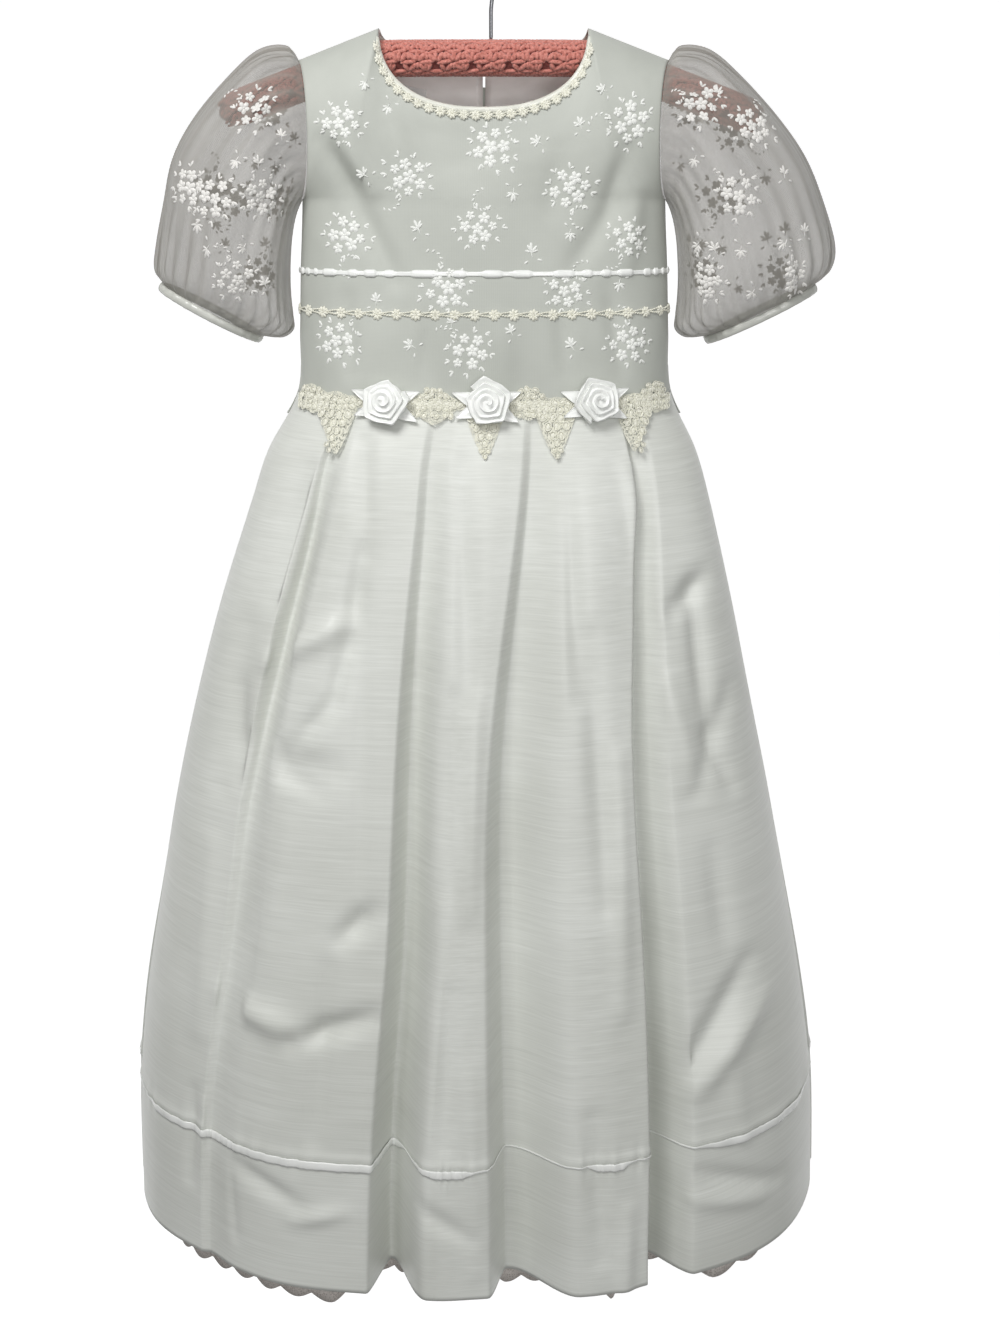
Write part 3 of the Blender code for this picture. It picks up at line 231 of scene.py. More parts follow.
def skirt_height(degrees, fall):
    """Height of the skirt at a fall below its seam: the hem is higher at the sides and behind."""
    rise = HEM_SIDE_RISE * np.minimum(1.0 - np.cos(np.radians(degrees)), 1.0)
    top = -WAIST_DROP - FRONT_WAIST_DIP * np.maximum(np.cos(np.radians(degrees)), 0.0)
    return top - fall / SKIRT_LENGTH * (HEM_DROP - rise + top)


def pleat(number, fall):
    """Angle and depth of the pleats with these numbers, at a distance below the waist seam."""
    share = np.clip(fall / SKIRT_LENGTH, 0.0, 1.0)
    waist, middle, hem = (np.array(PLEATS[key], float)[number] for key in ("waist", "middle", "hem"))
    upper = blend(waist, middle, np.sin(np.minimum(share, 0.5) * math.pi))
    angle = np.where(share < 0.5, upper, blend(middle, hem, ease(share * 2 - 1)))
    depth = np.zeros(np.broadcast(share, number).shape)
    for index in range(len(PLEATS["waist"])):
        depths = [0.0, 3.0] + [PLEATS[key][index] for key in ("high", "half", "low")]
        stages = {"share": [0.0, 0.03, 0.2, 0.5, 1.0], "depth": depths}
        depth = np.where(number == index, read(stages, "depth", "share", share), depth)
    return angle, depth / 1000


def skirt_surface(place, fall):
    """Points of the skirt. place counts the pleats from the right side seam: within each, the open
    side, the flat panel and the steep side of the next pleat."""
    number = np.clip(np.floor(place), 0, 9).astype(int)
    part = place - number
    angle, depth = pleat(number, fall)
    after, next_depth = pleat(number + 1, fall)
    slope = np.array(PLEATS["slope"], float)[number]
    end = after - STEEP_DEGREES
    panel = blend(angle + slope, end, (part - OPEN_END) / (STEEP_START - OPEN_END))
    opened = part / OPEN_END
    to_next = (1.0 - part) / (1.0 - STEEP_START)
    degrees = np.where(opened < 1.0, angle + slope * opened, panel)
    degrees = np.where(to_next < 1.0, end + STEEP_DEGREES * (1.0 - to_next), degrees)
    sunk = np.where(opened < 1.0, depth * (1.0 - ease(opened)), 0.0)
    sunk = np.where(to_next < 1.0, next_depth * (1.0 - ease(to_next)), sunk)
    level = np.clip(fall, 0.0, SKIRT_LENGTH)
    share = np.clip((degrees - angle) / (after - angle), 0.0, 1.0)
    crown = PANEL_CROWN * np.minimum(level / 0.1, 1.0) * np.sin(math.pi * share) ** 2
    point, out = section(degrees, WAIST_DROP + level)
    point += out * (crown - sunk)[..., None]
    point[..., 2] = skirt_height(degrees, fall)
    return point


def slip_surface(place, fall):
    """The slip inside the skirt, with the same waves drawn wider and softer."""
    level = np.clip(fall, 0.0, SKIRT_LENGTH)
    number = np.clip(np.floor(place), 0, 9).astype(int)
    angle, depth = pleat(number, level)
    after, next_depth = pleat(number + 1, level)
    slope = np.array(PLEATS["slope"], float)[number]
    degrees = blend(angle, after, place - number)
    past = degrees - angle - slope
    left = after - degrees - STEEP_DEGREES
    sunk = np.maximum(depth * (1.0 - ease(past / SLIP_FOLD_DEGREES)),
                      next_depth * (1.0 - ease(left / SLIP_FOLD_DEGREES)))
    point, out = section(degrees, WAIST_DROP + level)
    point -= out * (sunk + read(SLIP_INSET, "inset", "fall", level) / 1000)[..., None]
    point[..., 2] = skirt_height(degrees, level) - (fall - level)
    return point


def envelope(x, fall, back=False):
    """Points over the crests of the skirt, or on the bodice, at a place across and below the seam."""
    x, fall = np.asarray(x, float), np.asarray(fall, float)
    drop = WAIST_DROP + fall
    half_width = read(SECTIONS, "half_width", "drop", drop)
    across = np.clip((x - read(SECTIONS, "sway", "drop", drop)) / half_width, -1.0, 1.0)
    degrees = np.degrees(np.arcsin(power(across, 1.0 / SQUARENESS)))
    degrees = 180.0 - degrees if back else degrees
    point, out = section(degrees, drop)
    point += out * (PANEL_CROWN * np.clip(fall / 0.1, 0.0, 1.0))[..., None]
    point[..., 2] = skirt_height(degrees, fall)
    return point


def lace_reach(x, key):
    """How far the waist lace rises above its seam or hangs below it."""
    reach = np.full(np.shape(x), 0.005)
    for middle, half_width, most in zip(WAIST_LACE["x"], WAIST_LACE["half_width"], WAIST_LACE[key]):
        away = np.minimum(np.abs(x - middle) / half_width, 1.0)
        reach = np.maximum(reach, most * (1.0 - away ** 1.3))
    return reach


def lace_lift(x):
    """How far the waist lace lies off the dress: more where the dress turns to its sides."""
    return 0.0008 + 0.0016 * ease((np.abs(x - SWAY) - 0.105) / 0.035)


def bodice_surface(back):
    """The front or the back by its place across, from -1 to 1, and its row: -1 at the top, 0 at the
    underarm and 1 at the waist."""
    facing_way = 1.0 if back else -1.0
    neck_drop = BACK_NECK_DROP if back else FRONT_NECK_DROP
    stand = BACK_NECK_STAND if back else FRONT_NECK_STAND

    def top_edge(side):
        """The neck edge and then the shoulder seam, and how far along to the seam each place is."""
        angle = np.minimum(side / NECK_SHARE, 1.0) * math.pi / 2
        ahead = np.maximum(np.cos(angle), 0.0) ** NECK_CURVE
        neck = stack(np.sin(angle) ** NECK_CURVE * NECK_REACH, stand * np.sqrt(ahead),
                     -NECK_POINT_DROP - (neck_drop - NECK_POINT_DROP) * ahead)
        share = np.clip((side - NECK_SHARE) / (1.0 - NECK_SHARE), 0.0, 1.0)
        shoulder = stack(blend(NECK_REACH, SHOULDER_REACH, share), 0.0,
                         -blend(NECK_POINT_DROP, SHOULDER_DROP, share))
        at_neck = side < NECK_SHARE
        return np.where(at_neck[..., None], neck, shoulder), np.where(at_neck, 1.0 - ahead, 1.0)

    def armhole_pull(climb):
        """How far the armhole's curve lies from the straight side."""
        turn = math.pi * (1.0 - climb)
        reach = blend(UNDERARM_REACH, SHOULDER_REACH, (1.0 + np.cos(turn)) / 2)
        middle = (SHOULDER_DROP + UNDERARM_DROP) / 2
        half = (UNDERARM_DROP - SHOULDER_DROP) / 2
        armhole = stack(reach - ARMHOLE_BOW * np.abs(np.sin(turn)), ARMHOLE_HALF_DEPTH * np.sin(turn),
                        -middle + half * np.cos(turn))
        straight = stack(blend(UNDERARM_REACH, SHOULDER_REACH, climb), 0.0,
                         -blend(UNDERARM_DROP, SHOULDER_DROP, climb))
        return armhole - straight

    def surface(across, row):
        hand = -across if back else across
        side = np.abs(hand)
        drop = blend(UNDERARM_DROP, WAIST_DROP, np.clip(row, 0.0, 1.0))
        degrees = 180.0 + 90.0 * across if back else 90.0 * across
        lower, _ = section(degrees, drop)
        dip = FRONT_WAIST_DIP * np.maximum(np.cos(np.radians(degrees)), 0.0) * ease(row)
        lower[..., 2] = -drop - dip
        start, _ = section(90.0 * side, UNDERARM_DROP + 0.0 * side)
        start[..., 0] -= SWAY
        start[..., 1] = np.maximum(-start[..., 1], 0.0)
        start[..., 2] = -UNDERARM_DROP
        end, rounded = top_edge(side)
        climb = np.clip(-row, 0.0, 1.0)
        over = (1.0 - climb ** SHOULDER_ROUNDNESS) ** (1.0 / SHOULDER_ROUNDNESS)
        upright = 1.0 - climb ** NECK_UPRIGHT
        upper = start + (end - start) * climb[..., None]
        upper[..., 1] = end[..., 1] + (start[..., 1] - end[..., 1]) * blend(upright, over, rounded)
        upper += armhole_pull(climb) * (side ** ARMHOLE_PULL)[..., None]
        upper = stack(np.copysign(upper[..., 0], hand) + SWAY, facing_way * (upper[..., 1] + 0.0002),
                      upper[..., 2])
        return np.where((row < 0.0)[..., None], upper, lower)
    return surface


def yoke_row(share):
    """The row of a height on the neck's own 14.5 mm band: 0 at the neck edge, 1 at its lower edge."""
    return -1.0 + share * 0.145


def drop_row(drop):
    """The row of the bodice that lies at a drop below the underarm."""
    return (drop - UNDERARM_DROP) / (WAIST_DROP - UNDERARM_DROP)


def sleeve_surface(left):
    """The puff: turn in degrees from its top by the front, along from the armhole (0) to the cuff (9)."""
    def surface(turn, along):
        angle = np.radians(turn)
        more = read(SLEEVES, "left_more", "along", along) if left else 0.0
        outer = stack(read(SLEEVES, "outer_reach", "along", along) + more, 0.0,
                      -read(SLEEVES, "outer_drop", "along", along))
        inner = stack(read(SLEEVES, "inner_reach", "along", along), 0.0,
                      -read(SLEEVES, "inner_drop", "along", along))
        depth = read(SLEEVES, "half_depth", "along", along)
        around = (outer - inner) / 2 * np.cos(angle)[..., None] + stack(0.0, -depth * np.sin(angle), 0.0)
        at_cap = 0.2 + 0.4 * (1.0 + np.cos(angle))
        gather = read(SLEEVES, "gather", "along", along) * blend(at_cap, 1.0, ease(along / 6))
        uneven = 0.65 + 0.35 * np.cos(5 * angle + 1.0)
        wave = np.cos(SLEEVE_GATHERS * angle + 0.5 * np.sin(3 * angle)) * uneven + 0.25 * np.cos(11 * angle)
        puffed = np.sin(math.pi * np.clip(along / 9, 0.0, 1.0))
        long_fold = 0.0022 * np.cos(7 * angle + 1.4) * puffed
        point = (outer + inner) / 2 + around + unit(around) * (gather * wave + long_fold)[..., None]
        point[..., 0] -= ARMHOLE_BOW * np.abs(np.sin(angle)) * np.maximum(1.0 - along / 1.6, 0.0)
        below = np.maximum(-np.cos(angle), 0.0) ** 2
        seam = 0.0004 + 0.0012 * below * np.maximum(1.0 - along / 4, 0.0)
        point[..., 0] = (1.0 if left else -1.0) * (point[..., 0] + seam) + SWAY
        return point
    return surface


def hanger_drop(x):
    """Drop of the padded bar's middle: level in the middle, then along under the shoulder seams."""
    slope = (SHOULDER_DROP - NECK_POINT_DROP) / (SHOULDER_REACH - NECK_REACH)
    under = (0.0023 + HANGER_RADIUS) * math.hypot(1.0, slope)
    arm = NECK_POINT_DROP + slope * (np.abs(x - SWAY) - NECK_REACH) + under
    return (HANGER_CREST_DROP + arm + np.hypot(HANGER_CREST_DROP - arm, 0.004)) / 2


# Grids of points that stand for cloth, and places over them

def facing(points):
    """The normals of a grid whose columns run anticlockwise from above and whose rows run down."""
    along = np.gradient(points, axis=1)
    down = np.gradient(points, axis=0)
    return unit(np.cross(down, along))


def make_cloth(surface, across, down, relief=None, flip=False):
    """A grid of cloth on a surface, with its relief moved out of it."""
    across = np.asarray(across, float)
    down = np.asarray(down, float)
    places = np.meshgrid(across, down)
    points = surface(*places)
    way = -1.0 if flip else 1.0
    if relief is not None:
        points = points + way * facing(points) * relief(points, *places)[..., None]
    return {"across": across, "down": down, "points": points, "normals": way * facing(points)}


def spot(cloth, across, down, lift=0.0):
    """Points over a cloth at places across and down it, and its normals there."""
    across, down, lift = (np.asarray(value, float) for value in np.broadcast_arrays(across, down, lift))
    rows, columns = cloth["points"].shape[:2]
    u = np.interp(across, cloth["across"], np.arange(columns))
    v = np.interp(down, cloth["down"], np.arange(rows))
    column = np.minimum(u.astype(int), columns - 2)
    row = np.minimum(v.astype(int), rows - 2)
    right = (u - column)[..., None]
    low = (v - row)[..., None]

    def mixed(values):
        upper = values[row, column] * (1 - right) + values[row, column + 1] * right
        lower = values[row + 1, column] * (1 - right) + values[row + 1, column + 1] * right
        return upper * (1 - low) + lower * low

    normals = unit(mixed(cloth["normals"]))
    return mixed(cloth["points"]) + normals * lift[..., None], normals


def laid(cloth, across, down, lift):
    """A strip that lies on a cloth, as a grid of its own."""
    across = np.broadcast_to(across, np.shape(down))
    points, normals = spot(cloth, across, down, lift)
    own = facing(points)
    return {"points": points, "normals": own if (own * normals).sum() > 0 else -own}


def tube(path, ways, height, width, sides, ring=False):
    """A round or flattened bar along a path, as a grid. The ways point out of what it lies on."""
    step = np.gradient(path, axis=0)
    size = np.ones(len(path))
    if ring:
        step[[0, -1]] = path[1] - path[-2]
    else:
        size[[0, -1]] = 0.0
        size[[1, -2]] = 0.8
    along = unit(step)
    ways = unit(ways - along * (ways * along).sum(-1, keepdims=True))
    beside = np.cross(along, ways)
    turn = np.linspace(0.0, 2 * math.pi, sides + 1)[:, None, None]
    height = (np.broadcast_to(height, len(path)) * size)[None, :, None]
    width = (np.broadcast_to(width, len(path)) * size)[None, :, None]
    points = path[None] + ways[None] * np.cos(turn) * height + beside[None] * np.sin(turn) * width
    return {"points": points, "normals": unit(ways[None] * np.cos(turn) + beside[None] * np.sin(turn))}


# Pieces

def put(name, shape, material, replaced=()):
    """Finish a bmesh or a mesh as a piece of the object that rides on its one body."""
    mesh = shape
    if isinstance(shape, bmesh.types.BMesh):
        mesh = bpy.data.meshes.new(name)
        shape.to_mesh(mesh)
        shape.free()
    mesh.shade_smooth()
    mesh.materials.append(material)
    piece = bpy.data.objects.new(name, mesh)
    bpy.context.scene.collection.objects.link(piece)
    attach(piece, "root")
    if replaced:
        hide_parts(*replaced)
    return piece


def flat_size(points):
    """The flat size that a grid of cloth was cut to: its widest row, its length and its area."""
    across = np.linalg.norm(np.diff(points, axis=1), axis=-1)
    down = np.linalg.norm(np.diff(points, axis=0), axis=-1)
    return across.sum(axis=1).max(), down.sum(axis=0).max(), (across[:-1] * down[:, :-1]).sum()


def grid_shape(cloth, weld):
    """A bmesh grid laid on a cloth's points, with the cloth's flat size as UVs."""
    points, normals = cloth["points"], cloth["normals"]
    rows, columns, _ = points.shape
    width, length, _ = flat_size(points)
    shape = bmesh.new()
    bmesh.ops.create_grid(shape, x_segments=columns - 1, y_segments=rows - 1, size=0.5)
    shape.verts.index_update()
    flat = np.array([vertex.co[:2] for vertex in shape.verts])
    column = np.rint((flat[:, 0] + 0.5) * (columns - 1)).astype(int)
    row = np.rint((0.5 - flat[:, 1]) * (rows - 1)).astype(int)
    for vertex, place in zip(shape.verts, points[row, column]):
        vertex.co = place
    uv = shape.loops.layers.uv.new("cloth")
    u = column / (columns - 1) * width
    v = row / (rows - 1) * length
    for face in shape.faces:
        for loop in face.loops:
            index = loop.vert.index
            loop[uv].uv = (u[index], v[index])
    shape.normal_update()
    ways = normals[row, column]
    agree = sum(face.normal.dot(Vector(ways[face.verts[0].index])) for face in list(shape.faces)[::11])
    if agree < 0:
        bmesh.ops.reverse_faces(shape, faces=shape.faces)
    if weld:
        bmesh.ops.remove_doubles(shape, verts=shape.verts, dist=1e-6)
    return shape


def lay(name, cloth, thickness, material, replaced=(), weld=False):
    piece = put(name, grid_shape(cloth, weld), material, replaced)
    if thickness:
        solid = piece.modifiers.new("thickness", "SOLIDIFY")
        solid.thickness = thickness
        solid.offset = -1.0
        solid.use_even_offset = False
    return piece


# Small shapes that are joined many times over

def taken(shape):
    """The points and faces of a small bmesh shape."""
    shape.verts.index_update()
    points = np.array([vertex.co[:] for vertex in shape.verts])
    faces = [[vertex.index for vertex in face.verts] for face in shape.faces]
    shape.free()
    return points, faces


def petal_shape(segments=10):
    """An embroidered petal one unit long from its root, domed one unit high."""
    shape = bmesh.new()
    bmesh.ops.create_circle(shape, cap_ends=True, segments=segments, radius=0.5)
    bmesh.ops.inset_individual(shape, faces=list(shape.faces), thickness=0.15)
    inner = [face for face in shape.faces if len(face.verts) == segments]
    for vertex in inner[0].verts:
        vertex.co.z = 0.7
    middle = bmesh.ops.poke(shape, faces=inner)["verts"][0]
    middle.co.z = 1.0
    bmesh.ops.translate(shape, verts=shape.verts, vec=(0.5, 0.0, 0.0))
    for vertex in shape.verts:
        vertex.co.y *= 0.55 + 0.9 * vertex.co.x - 0.45 * vertex.co.x ** 2
    return taken(shape)


def ring_shape(thickness, segments=12, sides=5):
    """A cord loop one unit long and wide."""
    shape = bmesh.new()
    made = bmesh.ops.create_circle(shape, segments=sides, radius=thickness)
    bmesh.ops.rotate(shape, verts=made["verts"], matrix=Matrix.Rotation(math.pi / 2, 3, "X"))
    bmesh.ops.translate(shape, verts=made["verts"], vec=(0.5 - thickness, 0.0, 0.0))
    bmesh.ops.spin(shape, geom=shape.verts[:] + shape.edges[:], cent=(0, 0, 0), axis=(0, 0, 1),
                   angle=2 * math.pi, steps=segments, use_merge=True)
    bmesh.ops.recalc_face_normals(shape, faces=shape.faces)
    return taken(shape)


def strand_shape():
    """A fat strand of yarn one unit long, wide and high, round its middle."""
    shape = bmesh.new()
    bmesh.ops.create_uvsphere(shape, u_segments=6, v_segments=5, radius=0.5)
    bmesh.ops.rotate(shape, verts=shape.verts, matrix=Matrix.Rotation(math.pi / 2, 3, "Y"))
    for vertex in shape.verts:
        vertex.co.x = math.copysign(abs(vertex.co.x * 2) ** 0.8 / 2, vertex.co.x)
    return taken(shape)


PETAL = petal_shape()
RING = ring_shape(0.075)
STRAND = strand_shape()
# Marks that are further than this from their cloth are left out
MOST_OFF_CLOTH = 0.006


def seat(cloth, targets):
    """The nearest places on a cloth to some targets, and the ways out of it there."""
    if "tree" not in cloth:
        rows, columns = cloth["points"].shape[:2]
        corner = np.arange(rows * columns).reshape(rows, columns)
        faces = np.stack([corner[:-1, :-1], corner[:-1, 1:], corner[1:, 1:], corner[1:, :-1]], axis=-1)
        cloth["tree"] = BVHTree.FromPolygons(cloth["points"].reshape(-1, 3).tolist(),
                                             faces.reshape(-1, 4).tolist())
    columns = cloth["points"].shape[1]
    found = [cloth["tree"].find_nearest(target) for target in np.asarray(targets).tolist()]
    places = np.array([place[:] for place, _, _, _ in found])
    row, column = np.divmod(np.array([index for _, _, index, _ in found]), columns - 1)
    return places, cloth["normals"][row, column]


def join_copies(name, shape, places, ways, headings, sizes, material, replaced=()):
    """One mesh of copies of a small shape: x along each heading, z out, sizes as length, width, height."""
    points, faces = shape
    forward = unit(headings - ways * (headings * ways).sum(-1, keepdims=True))
    aside = np.cross(ways, forward)
    frames = np.stack([forward * sizes[:, :1], aside * sizes[:, 1:2], ways * sizes[:, 2:]], axis=1)
    made = (np.einsum("pk,mkc->mpc", points, frames) + places[:, None, :]).reshape(-1, 3)
    count = len(points)
    joined = [[index + copy * count for index in face] for copy in range(len(places)) for face in faces]
    mesh = bpy.data.meshes.new(name)
    mesh.from_pydata(made.tolist(), [], joined)
    return put(name, mesh, material, replaced)


def motif_marks(cloth, centre, marks, turn=0.0, scale=1.0, mirror=1.0):
    """Targets, headings and sizes in metres of a motif's marks, given in millimetres from its middle."""
    places, ways = seat(cloth, [centre])
    up = unit(np.array([0.0, 0.0, 1.0]) - ways[0] * ways[0][2])
    right = np.cross(up, ways[0])
    angle = math.radians(turn)
    x = marks[:, 0] * mirror * scale / 1000
    y = marks[:, 1] * scale / 1000
    x, y = x * math.cos(angle) - y * math.sin(angle), x * math.sin(angle) + y * math.cos(angle)
    heading = np.radians((marks[:, 2] if mirror > 0 else 180.0 - marks[:, 2]) + turn)
    targets = places[0] + x[:, None] * right + y[:, None] * up
    headings = np.cos(heading)[:, None] * right + np.sin(heading)[:, None] * up
    return np.concatenate([targets, headings, marks[:, 3:6] * scale / 1000], axis=1)


def sew(name, cloth, marks, shape, material, replaced=(), lift=0.0):
    """Join a small shape over all these marks on a cloth, but not those that fall off its edge."""
    marks = np.concatenate(marks)
    places, ways = seat(cloth, marks[:, :3])
    on = np.linalg.norm(places - marks[:, :3], axis=1) < MOST_OFF_CLOTH
    marks, places, ways = marks[on], places[on], ways[on]
    return join_copies(name, shape, places + ways * lift, ways, marks[:, 3:6], marks[:, 6:9], material,
                       replaced)


# Marks in millimetres: x, y, heading in degrees, length, width, height

def flower(x, y, size, petals, turn=0.0, fullness=0.80, height=0.9):
    """A flower of petals round a small knot."""
    rows = []
    for index in range(petals):
        width = size * 0.5 * fullness * 5.0 / petals
        rows.append((x, y, turn + 360.0 * index / petals, size * 0.5, width, height))
    rows.append((x - size * 0.09, y, 0.0, size * 0.18, size * 0.18, height * 1.3))
    return rows


SPRAY_HEADS = [(0, 0, 12), (9.5, 5, 11), (-9, 5.5, 10.5), (4.5, -9.5, 11), (-7, -7.5, 10), (14, -4.5, 9),
               (0.5, 12, 9)]
SPRAY_LEAVES = [(-15, 0, 190), (-13, -9, 215), (-2, -15, 265), (11, -15, 300), (20, 0, 350), (16, 10, 30),
                (-8, 13, 120), (8, 15, 65), (-16, 8, 165), (21, -9, 325)]
SPRIG_LEAVES = [(20, 5.0), (58, 6.2), (95, 7.0), (135, 6.0), (170, 4.8)]


def spray_marks(seed):
    """A gathered spray: flowers close together, small leaves at its edge and a curled tendril."""
    chance = random.Random(seed)
    rows = []
    for x, y, size in SPRAY_HEADS:
        rows += flower(x + chance.uniform(-0.8, 0.8), y + chance.uniform(-0.8, 0.8),
                       size * chance.uniform(0.92, 1.06), 5, chance.uniform(0, 72))
    for x, y, heading in SPRAY_LEAVES:
        rows.append((x, y, heading + chance.uniform(-20, 20), 5.4, 2.5, 0.7))
        rows.append((x, y, heading + 55, 4.0, 2.0, 0.6))
    for index in range(9):
        angle = math.radians(60 + 26 * index)
        reach = 9.5 - 0.45 * index
        rows.append((16 + reach * math.cos(angle), 19 + reach * math.sin(angle),
                     math.degrees(angle) + 60, 3.4, 1.9, 0.6))
    return np.array(rows)


def sprig_marks(seed):
    """A small sprig: a fan of narrow leaves on a short stem."""
    chance = random.Random(seed)
    rows = [(0, -4, 85, 5.5, 0.9, 0.5), (-3.4, -5, 200, 3.6, 1.8, 0.6), (3.0, -5.5, 330, 3.6, 1.8, 0.6)]
    for heading, length in SPRIG_LEAVES:
        rows.append((0, 0, heading + chance.uniform(-9, 9), length, length * 0.36, 0.7))
    return np.array(rows)


# Colours and shader nodes

def colour(code):
    """An sRGB hex colour as linear red, green, blue and alpha."""
    values = [int(code[index:index + 2], 16) / 255 for index in (1, 3, 5)]
    linear = [value / 12.92 if value <= 0.04045 else ((value + 0.055) / 1.055) ** 2.4 for value in values]
    return (*linear, 1.0)


def add_node(tree, kind, inputs=None, **settings):
    """A node with its settings, and its inputs as values or as links from other nodes' sockets."""
    made = tree.nodes.new(kind)
    for name, value in settings.items():
        setattr(made, name, value)
    for name, value in (inputs or {}).items():
        if isinstance(value, bpy.types.NodeSocket):
            tree.links.new(value, made.inputs[name])
        else:
            made.inputs[name].default_value = value
    return made


def start_material(name, roughness, **sockets):
    """A new material with its tree and shader, and the values that are the same all over."""
    material = bpy.data.materials.new(name)
    material.use_nodes = True
    tree = material.node_tree
    shader = tree.nodes["Principled BSDF"]
    shader.inputs["Roughness"].default_value = roughness
    for label, value in sockets.items():
        shader.inputs[label.replace("_", " ")].default_value = value
    return material, tree, shader


def ramp(tree, factor, stops):
    """A colour ramp through stops, each a position and a colour."""
    made = add_node(tree, "ShaderNodeValToRGB", {"Fac": factor})
    elements = made.color_ramp.elements
    elements[0].position, elements[0].color = stops[0][0], colour(stops[0][1])
    elements[1].position, elements[1].color = stops[-1][0], colour(stops[-1][1])
    for position, code in stops[1:-1]:
        elements.new(position).color = colour(code)
    return made.outputs["Color"]


def multiplied(tree, first, second, share):
    """Two colours multiplied, the second one only in part."""
    made = add_node(tree, "ShaderNodeMix", data_type="RGBA", blend_type="MULTIPLY")
    made.inputs[0].default_value = share
    tree.links.new(first, made.inputs[6])
    tree.links.new(second, made.inputs[7])
    return made.outputs[2]


def cloth_uv(tree):
    """The cloth's own flat coordinates, in metres."""
    return add_node(tree, "ShaderNodeUVMap", uv_map="cloth").outputs["UV"]


def woven(tree, place, threads):
    """Warp and weft as crossed waves, with this many threads to the metre."""
    scale = threads * math.pi / 10
    waves = [add_node(tree, "ShaderNodeTexWave", {"Vector": place, "Scale": scale, "Distortion": 0.8},
                      bands_direction=way).outputs["Fac"] for way in ("X", "Y")]
    both = add_node(tree, "ShaderNodeMath", {0: waves[0], 1: waves[1]}, operation="ADD")
    return add_node(tree, "ShaderNodeMath", {0: both.outputs[0], 1: 0.5}, operation="MULTIPLY").outputs[0]


def bump(tree, shader, height, strength, distance):
    """Raise the surface by a height of nought to one, over a distance in metres."""
    made = add_node(tree, "ShaderNodeBump", {"Height": height, "Strength": strength, "Distance": distance})
    tree.links.new(made.outputs["Normal"], shader.inputs["Normal"])


def shantung():
    """Crisp plain-woven silk: uneven thicker yarns across it and a soft shine on its folds."""
    material, tree, shader = start_material("ivory shantung, woven", 0.42, Sheen_Weight=0.12,
                                            Sheen_Roughness=0.4, Specular_IOR_Level=0.5)
    place = cloth_uv(tree)
    # Slubs are 0.3 to 1 mm high and 10 to 60 mm long
    short = add_node(tree, "ShaderNodeMapping", {"Vector": place, "Scale": (26.0, 900.0, 1.0)})
    long = add_node(tree, "ShaderNodeMapping", {"Vector": place, "Scale": (6.0, 330.0, 1.0)})
    slub = add_node(tree, "ShaderNodeTexNoise", {"Vector": short.outputs[0], "Scale": 1.0, "Detail": 2.0})
    streak = add_node(tree, "ShaderNodeTexNoise", {"Vector": long.outputs[0], "Scale": 1.0, "Detail": 3.0})
    cloud = add_node(tree, "ShaderNodeTexNoise", {"Vector": place, "Scale": 7.0, "Detail": 3.0})
    both = add_node(tree, "ShaderNodeMath", {0: slub.outputs["Fac"], 1: streak.outputs["Fac"]},
                    operation="ADD")
    half = add_node(tree, "ShaderNodeMath", {0: both.outputs[0], 1: 0.5}, operation="MULTIPLY").outputs[0]
    tint = ramp(tree, half, [(0.30, "#d8dad4"), (0.50, "#e0e2dc"), (0.72, "#e9ebe6")])
    wide = ramp(tree, cloud.outputs["Fac"], [(0.35, "#ececea"), (0.65, "#ffffff")])
    tree.links.new(multiplied(tree, tint, wide, 0.6), shader.inputs["Base Color"])
    rough = add_node(tree, "ShaderNodeMapRange", {"Value": half, "From Min": 0.35, "From Max": 0.65,
                                                  "To Min": 0.36, "To Max": 0.50})
    tree.links.new(rough.outputs["Result"], shader.inputs["Roughness"])
    bump(tree, shader, half, 0.20, 0.0005)
    return material


def lined_organza():
    """Fine stiff organza over an opaque lining: a cool off-white with a faint cross-weave."""
    material, tree, shader = start_material("organza over lining, woven", 0.6, Sheen_Weight=0.1,
                                            Specular_IOR_Level=0.35)
    place = cloth_uv(tree)
    # The real thread is 0.1 mm; it is drawn at about 1 mm to show
    weave = woven(tree, place, 1000.0)
    cloud = add_node(tree, "ShaderNodeTexNoise", {"Vector": place, "Scale": 12.0, "Detail": 4.0})
    tint = ramp(tree, cloud.outputs["Fac"], [(0.3, "#b9bcb5"), (0.7, "#c7cac3")])
    threads = ramp(tree, weave, [(0.0, "#eeeeea"), (1.0, "#ffffff")])
    tree.links.new(multiplied(tree, tint, threads, 0.6), shader.inputs["Base Color"])
    bump(tree, shader, weave, 0.10, 0.0003)
    return material


def sheer_organza():
    """One layer of organza: it shows what is behind it, less so where it is seen at a slant."""
    material, tree, shader = start_material("sheer organza, woven", 0.5, Sheen_Weight=0.1,
                                            Specular_IOR_Level=0.3)
    place = cloth_uv(tree)
    cloud = add_node(tree, "ShaderNodeTexNoise", {"Vector": place, "Scale": 26.0, "Detail": 4.0})
    # The grey tint is painted shade: the dimmer inside of the puff seen through the one layer
    tint = ramp(tree, cloud.outputs["Fac"], [(0.3, "#94918a"), (0.7, "#a5a29b")])
    tree.links.new(tint, shader.inputs["Base Color"])
    slant = add_node(tree, "ShaderNodeLayerWeight", {"Blend": 0.35})
    cover = add_node(tree, "ShaderNodeMapRange", {"Value": slant.outputs["Facing"], "To Min": 0.50,
                                                  "To Max": 1.0})
    held = add_node(tree, "ShaderNodeMapRange", {"Value": woven(tree, place, 1000.0), "To Min": 0.90,
                                                 "To Max": 1.08})
    alpha = add_node(tree, "ShaderNodeMath", {0: cover.outputs["Result"], 1: held.outputs["Result"]},
                     operation="MULTIPLY")
    tree.links.new(alpha.outputs[0], shader.inputs["Alpha"])
    return material


